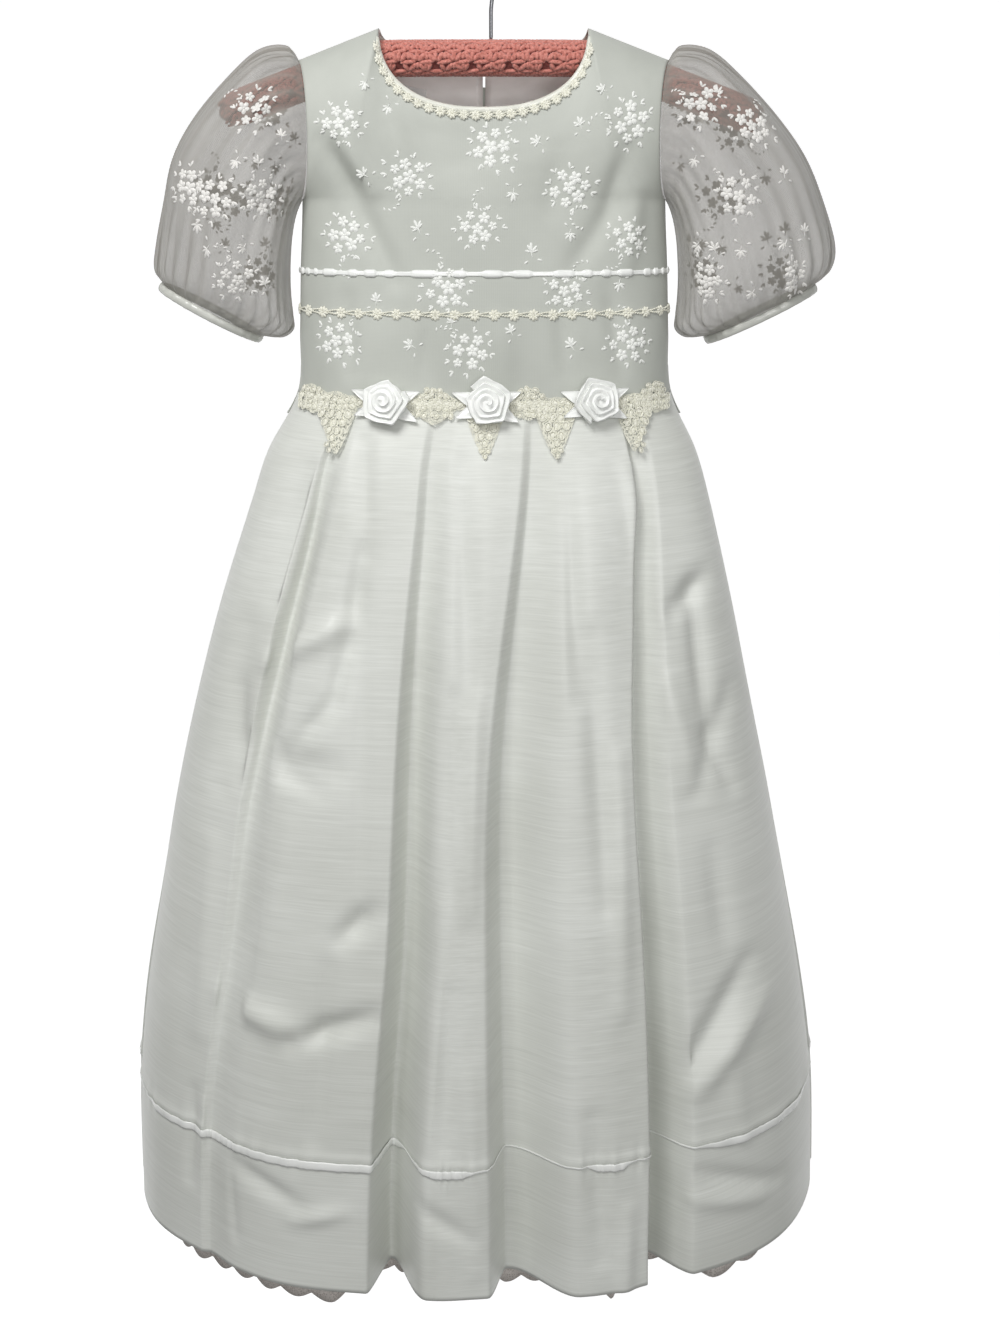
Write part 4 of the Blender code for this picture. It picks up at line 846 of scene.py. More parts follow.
def satin(name, light, dark):
    """Warp-faced satin: smooth and bright, with fine lines along it."""
    material, tree, shader = start_material(name, 0.26, Anisotropic=0.4, Sheen_Weight=0.05,
                                            Specular_IOR_Level=0.6)
    place = cloth_uv(tree)
    lines = add_node(tree, "ShaderNodeTexWave", {"Vector": place, "Scale": 300.0, "Distortion": 0.8},
                     bands_direction="Y")
    cloud = add_node(tree, "ShaderNodeTexNoise", {"Vector": place, "Scale": 55.0, "Detail": 3.0})
    tree.links.new(ramp(tree, cloud.outputs["Fac"], [(0.3, dark), (0.6, light)]),
                   shader.inputs["Base Color"])
    bump(tree, shader, lines.outputs["Fac"], 0.10, 0.0002)
    return material


def thread(name, light, dark, pitch, roughness=0.7):
    """Twisted thread or yarn: a soft uneven surface, with its twist at this pitch in metres."""
    material, tree, shader = start_material(name, roughness, Sheen_Weight=0.3, Specular_IOR_Level=0.3)
    place = add_node(tree, "ShaderNodeTexCoord").outputs["Object"]
    twist = add_node(tree, "ShaderNodeTexNoise", {"Vector": place, "Scale": 1.0 / pitch, "Detail": 2.0})
    tree.links.new(ramp(tree, twist.outputs["Fac"], [(0.32, dark), (0.60, light)]),
                   shader.inputs["Base Color"])
    bump(tree, shader, twist.outputs["Fac"], 0.5, pitch / 3)
    return material


def lace_bars():
    """The fine bars between the cords of the lace, open between them, with cells 2.6 mm wide."""
    material, tree, shader = start_material("ivory cotton lace bars", 0.75, Specular_IOR_Level=0.2)
    shader.inputs["Base Color"].default_value = colour("#e2e1d2")
    cells = add_node(tree, "ShaderNodeTexVoronoi", {"Vector": cloth_uv(tree), "Scale": 385.0},
                     feature="DISTANCE_TO_EDGE")
    solid = add_node(tree, "ShaderNodeMath", {0: cells.outputs["Distance"], 1: 0.16},
                     operation="LESS_THAN")
    tree.links.new(solid.outputs[0], shader.inputs["Alpha"])
    return material


def petticoat_net():
    """Stiff pale net over a lining; its mesh is drawn at 2 mm to show."""
    material, tree, shader = start_material("petticoat net, knitted", 0.8, Specular_IOR_Level=0.2)
    cells = add_node(tree, "ShaderNodeTexVoronoi", {"Vector": cloth_uv(tree), "Scale": 480.0},
                     feature="DISTANCE_TO_EDGE")
    tree.links.new(ramp(tree, cells.outputs["Distance"], [(0.05, "#dcd5cf"), (0.25, "#b9b2ac")]),
                   shader.inputs["Base Color"])
    return material


def steel():
    """Drawn steel wire: dull grey metal with fine marks."""
    material, tree, shader = start_material("steel wire, drawn", 0.3, Metallic=1.0)
    place = add_node(tree, "ShaderNodeTexCoord").outputs["Object"]
    marks = add_node(tree, "ShaderNodeTexNoise", {"Vector": place, "Scale": 900.0, "Detail": 3.0})
    tree.links.new(ramp(tree, marks.outputs["Fac"], [(0.3, "#77787b"), (0.7, "#a3a4a8")]),
                   shader.inputs["Base Color"])
    return material


def pearl():
    """Moulded button with a pearly coat that changes a little with the angle."""
    material, tree, shader = start_material("pearl button, moulded", 0.2, Coat_Weight=0.5)
    slant = add_node(tree, "ShaderNodeLayerWeight", {"Blend": 0.4})
    tint = ramp(tree, slant.outputs["Facing"], [(0.1, "#e9e6da"), (0.5, "#dde3e2"), (0.9, "#e8dcd8")])
    tree.links.new(tint, shader.inputs["Base Color"])
    return material


SHANTUNG = shantung()
ORGANZA = lined_organza()
SHEER = sheer_organza()
RIBBON = satin("white ribbon satin, woven", "#f7f8f5", "#e9ebe7")
BINDING = satin("ivory binding satin, woven", "#e2e2d8", "#d3d4c8")
CUFF = satin("organza binding, woven", "#cccdc6", "#bfc0b9")
LINING = satin("white cotton lining, woven", "#fbf8f5", "#f1eeea")
LABEL = satin("blank white label satin, woven", "#f2f3f1", "#e9eae8")
EMBROIDERY = thread("white rayon embroidery thread", "#f1f2ee", "#dfe1db", 0.0009, 0.42)
SHEER_EMBROIDERY = thread("white rayon embroidery thread on sheer cloth", "#eae8e4", "#dcdad6", 0.0009,
                          0.42)
LACE = thread("ivory cotton lace cord", "#f1f0e4", "#d6d5c3", 0.0011, 0.6)
LACE_BARS = lace_bars()
YARN = thread("pink crocheted cotton yarn", "#d68d81", "#b0665a", 0.0017, 0.85)
# Painted shade: a dark pink that stands for the shade deep between the crochet stitches
PAINTED_SHADE_YARN = thread("pink crocheted cotton yarn, deep in the stitches", "#8a4a44", "#63312d", 0.002, 0.9)
NET = petticoat_net()
NET_LACE = thread("taupe petticoat lace thread", "#e9e3dd", "#cbc4be", 0.0012, 0.8)
STEEL = steel()
PEARL = pearl()


# Places in the frame of the photograph, 1000 by 1333, turned into metres by the camera's own sizes

CAMERA_PLACE = (0.0073, -1.5, -0.212)
CAMERA_TILT = math.radians(15.0)
FOCAL_PIXELS = 1752.0
FRAME_MIDDLE = (500.0, 666.5)


def seen_at(pixel_x, pixel_y, y):
    """Where a place in the frame lies across and up, at a distance y behind the dress's middle."""
    rise = (pixel_y - FRAME_MIDDLE[1]) / FOCAL_PIXELS
    away = y - CAMERA_PLACE[1]
    slant = math.cos(CAMERA_TILT) - rise * math.sin(CAMERA_TILT)
    below = away * (rise * math.cos(CAMERA_TILT) + math.sin(CAMERA_TILT)) / slant
    depth = away * math.cos(CAMERA_TILT) + below * math.sin(CAMERA_TILT)
    return CAMERA_PLACE[0] + (pixel_x - FRAME_MIDDLE[0]) * depth / FOCAL_PIXELS, CAMERA_PLACE[2] - below


# Creases: from x, y to x, y, half the width and the height in millimetres, below zero for a trough
SKIRT_CREASES = [
    (360, 450, 362, 560, 9, -2.5), (360, 560, 346, 649, 10, -4.5), (346, 649, 331, 706, 9, -4.0),
    (331, 706, 296, 745, 8, -3.5), (362, 600, 359, 905, 8, -1.8), (264, 673, 343, 628, 9, 4.5),
    (243, 757, 333, 770, 12, -3.5), (262, 772, 318, 790, 10, -3.0), (232, 700, 234, 793, 8, -2.5),
    (345, 930, 374, 905, 10, -5.0), (225, 1000, 300, 1022, 12, 5.0), (296, 1030, 372, 1005, 10, -5.5),
    (700, 800, 740, 700, 9, -2.5), (698, 600, 713, 745, 8, -4.0), (713, 745, 739, 802, 8, -3.5),
    (680, 620, 710, 591, 9, -4.0), (631, 476, 662, 630, 7, 3.0), (672, 692, 696, 788, 8, 3.0),
    (750, 975, 684, 1070, 11, -5.0), (770, 1010, 700, 1085, 10, 4.0), (700, 1165, 780, 1195, 8, -3.0),
    (690, 1190, 760, 1205, 8, 2.4), (461, 470, 468, 700, 10, -2.4), (476, 700, 470, 900, 9, 2.4),
    (452, 700, 440, 880, 9, -2.2), (566, 480, 580, 700, 9, -2.4), (590, 640, 606, 900, 10, -2.6),
    (620, 760, 622, 1000, 9, 2.2), (300, 480, 270, 610, 10, -2.6), (240, 640, 214, 800, 11, -2.6),
    (205, 860, 196, 1040, 11, 2.6), (290, 830, 262, 980, 12, 2.2), (330, 960, 318, 1120, 10, -2.2),
    (240, 1160, 300, 1185, 9, -3.0), (300, 1200, 345, 1190, 8, 2.4), (450, 980, 445, 1120, 9, -2.4),
    (470, 1060, 478, 1240, 9, 2.0), (590, 1100, 600, 1230, 10, -2.6), (625, 1190, 622, 1285, 8, 2.4),
    (715, 860, 730, 960, 10, -2.6), (420, 1180, 470, 1210, 9, -2.4), (735, 1060, 742, 1140, 9, 2.0),
    (190, 1100, 186, 1190, 6, -2.4), (204, 1110, 212, 1215, 6, 2.4), (222, 1130, 236, 1230, 6, -2.0),
]
BODICE_CREASES = [
    (322, 140, 350, 190, 8, -3.0), (350, 190, 394, 279, 9, -2.8), (336, 132, 372, 190, 8, 2.2),
    (615, 207, 572, 269, 9, -2.2), (628, 150, 606, 215, 8, -2.2), (345, 300, 350, 372, 8, -1.8),
    (430, 320, 424, 378, 8, -1.6), (500, 318, 506, 376, 9, 1.6), (560, 300, 566, 370, 8, -1.6),
    (610, 290, 622, 372, 8, -1.8), (640, 190, 630, 262, 8, 1.8), (392, 120, 404, 168, 9, 1.4),
    (560, 150, 552, 210, 9, -1.4),
]
# How much deeper they are made than these heights
CREASE_DEPTH = 1.7
# The back's creases are the front's, mirrored: what x is taken from and what is added to y, at the
# start and at the end of each, and their share of the height
BACK_START = (986, 17)
BACK_END = (991, 11)
BACK_DEPTH = 0.85
# Where the middles of the embroidered sprays and sprigs are in the frame
SPRAY_PLACES = [(332, 113), (409, 178), (567, 188), (476, 226), (639, 116), (490, 140), (327, 231),
                (649, 236), (447, 288), (567, 293), (471, 351), (322, 341), (644, 346)]
SPRIG_PLACES = [(361, 70), (390, 92), (358, 180), (414, 226), (514, 190), (577, 231), (534, 250),
                (409, 346), (570, 346), (632, 284), (538, 135), (579, 118), (610, 78), (450, 322),
                (515, 330), (368, 300)]
SLEEVE_SPRAYS = {
    "right": [(255, 101), (272, 202), (212, 197), (183, 188), (238, 284)],
    "left": [(699, 101), (762, 116), (740, 195), (706, 286), (805, 288)],
}
SLEEVE_SPRIGS = {
    "right": [(286, 132), (234, 159), (262, 164), (198, 250), (274, 288), (190, 225), (250, 250)],
    "left": [(723, 82), (685, 161), (798, 168), (675, 250), (711, 252), (740, 252), (788, 245), (752, 300),
             (822, 231)],
}


def turned_round(rows):
    """The same creases for the hidden back, mirrored, moved a little and made shallower."""
    return [(BACK_START[0] - x_1, y_1 + BACK_START[1], BACK_END[0] - x_2, y_2 + BACK_END[1], width,
             height * BACK_DEPTH) for x_1, y_1, x_2, y_2, width, height in rows]


def crease_relief(rows, back, depth, calm):
    """A relief of soft troughs and ridges on the front or the back of the dress."""
    def relief(points, across, down):
        moved = np.zeros(across.shape)
        for x_1, y_1, x_2, y_2, width, height in turned_round(rows) if back else rows:
            start = np.array(seen_at(x_1, y_1, -depth))
            line = np.array(seen_at(x_2, y_2, -depth)) - start
            offset = points[..., (0, 2)] - start
            share = np.clip((offset @ line) / (line @ line), 0.0, 1.0)
            away = np.linalg.norm(offset - share[..., None] * line, axis=-1)
            fade = 0.35 + 0.65 * np.sin(math.pi * np.clip(share, 0.04, 0.96)) ** 0.7
            moved += CREASE_DEPTH * height / 1000 * fade * np.exp(-(away / (width / 1000)) ** 2)
        return moved * calm(across, down)
    return relief


# The skirt, its hem ribbon and the slip under it

SKIRT_SIDES = {"front": (0.0, 5.0), "back": (5.0, 10.0)}
# The gap at a side seam, as a share of a pleat, and how far up the hem is turned inside
SEAM_GAP = 0.003
HEM_TURNED_UP = 0.018
# How far out of the dress's middle its creases are read from the frame
SKIRT_CREASE_REACH = 0.11
BODICE_CREASE_REACH = 0.05
# The edge of the tuck and the puckers under it: how far above the ribbon, half width and height
TUCK_EDGE = (0.0075, 0.0042, 0.0010)
TUCK_PUCKERS = (0.004, 0.014, 0.0009)
# The slip's lace: its gap below the net, and how deep its scallops are and how many to a pleat
LACE_GAP = 0.0003
SCALLOP_DEPTH = 0.007
SCALLOPS = 5.5
RIBBON_FALL = SKIRT_LENGTH - HEM_RIBBON_RISE
# How much of the hem ribbon shows below its tuck, by the place round the skirt
RIBBON_SHOWN = {
    "place": [0.0, 0.45, 0.55, 1.0, 1.8, 2.05, 2.12, 2.35, 2.62, 2.70, 3.0, 3.35, 3.42, 3.60, 3.66, 4.0,
              4.3, 4.38, 4.62, 4.70, 5.0],
    "shown": [0.12, 0.12, 0.9, 1.0, 1.0, 0.9, 0.15, 1.0, 1.0, 0.25, 0.2, 0.2, 0.9, 0.9, 0.2, 0.2,
              0.25, 1.0, 1.0, 0.15, 0.12],
}


def on_panel(part):
    """One on a pleat's flat panel and nought in its valleys."""
    return ease((part - 0.16) / 0.14) * ease((0.90 - part) / 0.08)


def skirt_calm(place, fall):
    """No creases at the seam, at the hem's edge or in the pleats."""
    ends = ease(fall / 0.04) * ease((SKIRT_LENGTH + 0.03 - fall) / 0.03)
    return on_panel(place - np.floor(place)) * ends


def tuck_relief(place, fall):
    """The edge of the deep hem's tuck over the ribbon, and the small puckers along its seam."""
    edge, puckers = (height * np.exp(-((fall - RIBBON_FALL + above) / half_width) ** 2)
                     for above, half_width, height in (TUCK_EDGE, TUCK_PUCKERS))
    uneven = np.sin(place * 71.0 + 1.6 * np.sin(place * 13.0)) * (0.6 + 0.4 * np.sin(place * 29.0))
    return (edge + puckers * uneven) * on_panel(place - np.floor(place))


def hem_ribbon(skirt, across):
    """The satin ribbon along the tuck, narrow where the tuck covers it, finely crimped where it shows."""
    shown = np.interp(across % 5.0, RIBBON_SHOWN["place"], RIBBON_SHOWN["shown"])
    rows = np.linspace(-0.5, 0.5, 6)[:, None]
    down = RIBBON_FALL - HEM_RIBBON_WIDTH / 2 + (rows + 0.5) * HEM_RIBBON_WIDTH * shown
    crimp = np.sin(across * 118.0 + 2.0 * np.sin(across * 17.0)) * np.sin(across * 51.0)
    return laid(skirt, across, down, 0.0010 + 0.0007 * (np.cos(math.pi * rows) + np.abs(crimp)) * shown)


def turned_hem(skirt, across):
    """The skirt with its lower edge turned in and up inside."""
    edges = [spot(skirt, across, SKIRT_LENGTH - rise, -inset)[0]
             for rise, inset in ((0.0, 0.0008), (0.0006, 0.0014), (HEM_TURNED_UP, 0.0014))]
    # The last rows run on from the hem's edge
    return {"points": np.concatenate([skirt["points"], edges]),
            "normals": np.concatenate([skirt["normals"], [skirt["normals"][-1]] * 3])}


LACE_FLOWERS = np.array(flower(0, 0, 13, 6, 20) + flower(7, -3, 5, 4) + flower(-7, -3, 5, 4))
# Rows of the skirt, closer at the waist seam and at the tuck over the ribbon
skirt_falls = np.concatenate([np.linspace(0.0002, 0.03, 8), np.linspace(0.0345, RIBBON_FALL - 0.022, 112),
                              np.linspace(RIBBON_FALL - 0.019, RIBBON_FALL + 0.016, 22),
                              np.linspace(RIBBON_FALL + 0.020, SKIRT_LENGTH, 26)])


def skirt_side(side, first, last):
    """Half of the skirt, with its turned hem and the ribbon under its tuck."""
    creases = crease_relief(SKIRT_CREASES, side == "back", SKIRT_CREASE_REACH, skirt_calm)

    def relief(points, place, fall):
        return creases(points, place, fall) + tuck_relief(place, fall)

    across = np.linspace(first + SEAM_GAP, last - SEAM_GAP, 271)
    skirt = make_cloth(skirt_surface, across, skirt_falls, relief)
    lay(f"shantung_skirt_{side}", turned_hem(skirt, across), 0.0, SHANTUNG, (f"skirt_{side}",))
    ribbon = hem_ribbon(skirt, np.linspace(first + 0.02, last - 0.02, 521))
    lay(f"hem_ribbon_satin_{side}", ribbon, RIBBON_WALL, RIBBON, (f"hem_ribbon_{side}",))


def slip_side(side, first, last):
    """Half of the slip, with the scalloped lace at its edge and the flowers on it."""
    slip = make_cloth(slip_surface, np.linspace(first + SEAM_GAP, last - SEAM_GAP, 131),
                      np.linspace(0.004, SLIP_HEM, 46))
    lay(f"petticoat_{side}", slip, NET_WALL, NET, (f"underskirt_{side}",))
    across = np.linspace(first + SEAM_GAP, last - SEAM_GAP, 331)
    scallop = SCALLOP_DEPTH * np.abs(np.sin(across * SCALLOPS * math.pi))
    depth = SLIP_LACE_END - SLIP_HEM - LACE_GAP - SCALLOP_DEPTH + scallop
    down = SLIP_HEM + LACE_GAP + np.linspace(0.0, 1.0, 7)[:, None] * depth
    lace_base = make_cloth(slip_surface, across, np.linspace(SLIP_HEM, SLIP_LACE_END, 9))
    lay(f"petticoat_lace_{side}", laid(lace_base, across, down, 0.0), NET_WALL, NET,
        (f"underskirt_lace_{side}",))
    marks = [motif_marks(lace_base, spot(lace_base, place, SLIP_LACE_END - 0.014)[0], LACE_FLOWERS)
             for place in np.arange(first + 0.06, last - 0.05, 1 / 11)]
    sew(f"petticoat_lace_flowers_{side}", lace_base, marks, PETAL, NET_LACE, lift=0.0001)


for side, (first, last) in SKIRT_SIDES.items():
    skirt_side(side, first, last)
    slip_side(side, first, last)


# The bodice

bodice_rows = np.concatenate([np.linspace(-1.0, -0.8, 12), np.linspace(-0.78, 0.998, 72)])


def bodice_calm(across, row):
    """No creases at the edges of the bodice."""
    return ease((1.0 - np.abs(row)) / 0.15) * ease((1.0 - np.abs(across)) / 0.1)


bodices = {}
for part, low, high, columns in (("front", -1.0, 1.0, 125), ("back_left", -1.0, -0.002, 63),
                                 ("back_right", 0.002, 1.0, 63)):
    back = part != "front"
    relief = crease_relief(BODICE_CREASES, back, BODICE_CREASE_REACH, bodice_calm)
    bodices[part] = make_cloth(bodice_surface(back), np.linspace(low, high, columns), bodice_rows, relief)
    piece = lay(f"organza_bodice_{part}", bodices[part], ORGANZA_WALL, ORGANZA,
                (f"bodice_{part}",))
    piece.data.materials.append(LINING)
    piece.modifiers["thickness"].material_offset = 1


def embroider(name, cloth, sprays, sprigs, depth, material, slot, seed, mirror=1.0):
    """Sew sprays and sprigs of a common repeat at places in the frame."""
    chance = random.Random(seed)
    marks = []
    for places, kind, sizes in ((sprays, spray_marks, (0.88, 1.0)), (sprigs, sprig_marks, (0.9, 1.15))):
        for number, (pixel_x, pixel_y) in enumerate(places):
            x, z = seen_at(pixel_x, pixel_y, -abs(depth))
            turn = chance.choice([0, 150, 25, -20, 175, 60]) + chance.uniform(-8, 8)
            hand = 1.0 if number % 2 else -1.0
            marks.append(motif_marks(cloth, (x * mirror, depth, z), kind(seed * 50 + number), turn,
                                     chance.uniform(*sizes), hand))
    return sew(name, cloth, marks, PETAL, material, lift=0.0001)


embroider("embroidery_bodice_front", bodices["front"], SPRAY_PLACES, SPRIG_PLACES, -0.07, EMBROIDERY,
          "embroidered_organza", 3)
# Behind, only the places clear of the closing and the neck are sewn, mirrored for the right back
CLEAR_OF_CLOSING = 545
CLEAR_OF_NECK = 100
beside_closing = [[(x, y) for x, y in places if x > CLEAR_OF_CLOSING and y > CLEAR_OF_NECK]
                  for places in (SPRAY_PLACES, SPRIG_PLACES)]
for part, hand in (("back_left", 1.0), ("back_right", -1.0)):
    embroider(f"embroidery_bodice_{part}", bodices[part], *beside_closing, 0.07, EMBROIDERY,
              "embroidered_organza", 5, hand)


# The trims of the neck and the chest

def along_path(path, spacing, offset=0.0):
    """Places at a spacing along a path, and the distances they stand at."""
    lengths = np.concatenate([[0.0], np.cumsum(np.linalg.norm(np.diff(path, axis=0), axis=1))])
    steps = np.arange(offset, lengths[-1], spacing)
    return np.stack([np.interp(steps, lengths, path[:, axis]) for axis in range(3)], axis=1), steps


def daisy_row(name, cloth, across, down, pitch, size, replaced, lift, seed):
    """Daisies at a pitch along a line on a cloth, joined by two twisted cords."""
    path, _ = spot(cloth, across, down)
    chance = random.Random(seed)
    marks = []
    for centre in along_path(path, pitch, pitch / 2)[0]:
        rows = flower(0, 0, size * 1000 * chance.uniform(0.94, 1.06), 8, chance.uniform(0, 45), 0.95, 1.5)
        marks.append(motif_marks(cloth, centre, np.array(rows)))
    beads, steps = along_path(path, BEAD_PITCH)
    run = unit(np.gradient(beads, axis=0))
    aside = np.cross(seat(cloth, beads)[1], run)
    sizes = np.tile([0.0031, 0.0015, 0.0011], (len(steps), 1))
    for hand in (1.0, -1.0):
        wave = hand * (0.0011 + 0.0005 * np.sin(steps / pitch * 2 * math.pi))[:, None]
        marks.append(np.concatenate([beads + aside * wave - run * 0.0015, run + aside * 0.35, sizes], axis=1))
    return sew(name, cloth, marks, PETAL, LACE, replaced, lift)


for part, start, end, count in (("front", -NECK_END, NECK_END, 91), ("back_left", -NECK_END, -0.004, 46),
                                ("back_right", 0.004, NECK_END, 46)):
    across = np.linspace(start, end, count)
    middle, ways = spot(bodices[part], across, yoke_row(0.17), -0.0006)
    lay(f"neck_binding_roll_{part}", tube(middle, ways, 0.0020, 0.0026, 10), 0.0, BINDING,
        (f"neck_binding_{part}",), weld=True)
    daisy_row(f"neck_daisy_lace_{part}", bodices[part], across, yoke_row(0.62), NECK_DAISY_PITCH, 0.0085,
              (f"neck_lace_{part}",), 0.0009, 11)

across = np.linspace(-0.998, 0.998, 521)
rows = np.linspace(-0.5, 0.5, 5)[:, None]
threading = np.sin(across * 62.0 + 1.3 * np.sin(across * 17.0)) + 0.45 * np.sin(across * 29.0)
shown = 0.5 + 0.5 * np.tanh(3.0 * threading)
down = drop_row(CHEST_RIBBON_DROP + rows * CHEST_RIBBON_WIDTH * (0.55 + 0.45 * shown))
ribbon = laid(bodices["front"], across, down, 0.0006 + 0.0013 * shown * np.cos(math.pi * rows * 0.9))
lay("chest_ribbon_satin", ribbon, RIBBON_WALL, RIBBON, ("chest_ribbon",))
daisy_row("chest_daisies", bodices["front"], np.linspace(-0.995, 0.995, 161), drop_row(DAISY_LACE_DROP),
          DAISY_PITCH, 0.0098, ("chest_daisy_lace",), 0.0004, 17)


# The sleeves and their cuffs

def cuff_tube(left):
    """The bound edge of a sleeve, puckered a little over its gathers."""
    turns = np.linspace(0.0, 360.0, 121)
    ring = sleeve_surface(left)(turns, np.full(turns.shape, 9.0))
    before = sleeve_surface(left)(turns, np.full(turns.shape, 8.8))
    middle = ring[:-1].mean(axis=0)
    fall = unit(middle - before[:-1].mean(axis=0))
    away = unit(ring - middle)
    angle = np.radians(turns)
    pucker = 0.0004 * np.sin(angle * 33 + 2 * np.sin(angle * 5))
    return tube(ring + fall * 0.0034 + away * pucker[:, None], away, 0.0018, 0.0036, 10, ring=True)


stations = np.concatenate([np.linspace(0.0, 2.0, 26), np.linspace(2.1, 9.0, 60)])
for name, left in (("left", True), ("right", False)):
    cloth = make_cloth(sleeve_surface(left), np.linspace(0.0, 360.0, 217), stations, flip=left)
    lay(f"organza_sleeve_{name}", cloth, 0.0, SHEER, (f"sleeve_{name}",),
        weld=True)
    for face, depth, seed in (("front", -0.06, 7), ("back", 0.06, 9)):
        embroider(f"embroidery_sleeve_{name}_{face}", cloth, SLEEVE_SPRAYS[name], SLEEVE_SPRIGS[name], depth,
                  SHEER_EMBROIDERY, "sheer_organza", seed)
    lay(f"cuff_binding_{name}", cuff_tube(left), 0.0, CUFF, (f"cuff_{name}",), weld=True)


# The lace across the front waist

POINT_ROWS = [(-5, 6, 5.8, 6.6, 5.4), (-11.5, 4, 7.6, 9.0, 6.6), (-19, 3, 7.4, 8.6, 6.4),
              (-26.5, 2, 7.6, 8.4, 6.2), (-33, 1, 0, 7.4, 5.6)]
POINT_TIP = [(-2.7, -39, 40), (2.7, -39, 140), (0, -43.5, 90)]
CORD_HEIGHT = 8.0
CORD_LIFT = 0.0007
CELL_PITCH = 0.0052
# The length, width and height of a cell's filling as shares of its cord's
FILLING = (0.74, 0.74, 0.14)


def point_cells(seed):
    """The cells of one hanging point, row by row down to a tip of three small petals."""
    chance = random.Random(seed)
    rows = []
    for y, count, pitch, length, width in POINT_ROWS:
        for index in range(count):
            x = (index - (count - 1) / 2) * pitch
            lean = 90 + x * 3.2 + chance.uniform(-9, 9)
            rows.append((x + chance.uniform(-0.5, 0.5), y + chance.uniform(-0.6, 0.6), lean, length, width,
                         CORD_HEIGHT))
    return rows + [(x, y, turn, 5.4, 4.4, CORD_HEIGHT) for x, y, turn in POINT_TIP]


def cluster_cells(seed, rise):
    """The curled cells of a cluster that rises above the seam."""
    chance = random.Random(seed)
    rows = []
    for y in np.arange(-9.0, rise - 2.0, 5.0):
        reach = 16.0 * (1.0 - max(y, 0.0) / rise) + 3.0
        for x in np.arange(-reach, reach + 0.1, 5.6):
            rows.append((x + chance.uniform(-1, 1), y + chance.uniform(-1, 1), chance.uniform(0, 180),
                         chance.uniform(5.0, 7.2), chance.uniform(4.2, 5.6), CORD_HEIGHT))
    return rows


bed = make_cloth(envelope, np.linspace(-0.1575, 0.1455, 91), np.linspace(-0.020, 0.052, 37))
marks = []
for number, (x, rise, hang) in enumerate(zip(WAIST_LACE["x"], WAIST_LACE["rise"], WAIST_LACE["hang"])):
    cells = point_cells(number) if hang > 0.04 else cluster_cells(number, rise * 1000)
    marks.append(motif_marks(bed, envelope(x, 0.0), np.array(cells)))
for step, x in enumerate(np.arange(-0.150, 0.139, CELL_PITCH)):
    centre = envelope(x, 0.001 * math.sin(step * 1.7))
    cell = np.array([(0, 0, 40 + 100 * (step % 2), 7.0, 5.2, CORD_HEIGHT)])
    marks.append(motif_marks(bed, centre, cell))
cells = np.concatenate(marks)
places, ways = seat(bed, cells[:, :3])
lifts = lace_lift(places[:, 0])[:, None] + CORD_LIFT
join_copies("waist_lace_cords", RING, places + ways * lifts, ways, cells[:, 3:6], cells[:, 6:9], LACE,
            ("waist_lace",))
fills = cells[:, 6:9] * FILLING
roots = places + ways * (lifts - 0.0006) - unit(cells[:, 3:6]) * fills[:, :1] / 2
join_copies("waist_lace_fillings", PETAL, roots, ways, cells[:, 3:6], fills, LACE)
across = np.linspace(SWAY - LACE_HALF_SPAN, SWAY + LACE_HALF_SPAN, 201)
shares = np.concatenate([np.linspace(-1.0, 0.0, 6)[:-1], np.linspace(0.0, 1.0, 14)])[:, None]
down = shares * np.where(shares < 0, lace_reach(across, "rise"), lace_reach(across, "hang")) * 0.94
lay("waist_lace_bars", laid(bed, across, down, lace_lift(across) + 0.0003), 0.0, LACE_BARS)


# The ribbon roses

# The ribbon's section across a wrap: steps round it, how far in and how far up it is
WRAP = {
    "step": [0, 1, 2, 3, 4, 5, 6, 7],
    "in": [1.0, 0.72, 0.38, 0.08, 0.0, -0.05, -0.02, 0.02],
    "up": [0.0, 0.34, 0.72, 0.98, 0.94, 0.72, 0.35, 0.0],
}
LEAVES = {"turn": [24.0, 158.0, 205.0, 328.0], "reach": [0.0300, 0.0310, 0.0290, 0.0300],
          "half_width": [0.0082, 0.0088, 0.0080, 0.0086]}
ROSE_TURNS = 3.6
ROSE_LIFT = 0.0062
CORE_RADIUS = 0.0165
CORE_HEIGHT = 0.0085
CORE_DROP = 0.0002
LEAF_FLATNESS = 0.85


def rose_frame(x):
    """The middle of a rose over the lace, and its ways right, up and out."""
    reach = ROSE_RADIUS
    up = unit(envelope(x, -reach) - envelope(x, reach))
    right = unit(envelope(x + reach, 0.0) - envelope(x - reach, 0.0))
    out = unit(np.cross(right, up))
    return envelope(x, 0.0) + out * ROSE_LIFT, right, np.cross(out, right), out


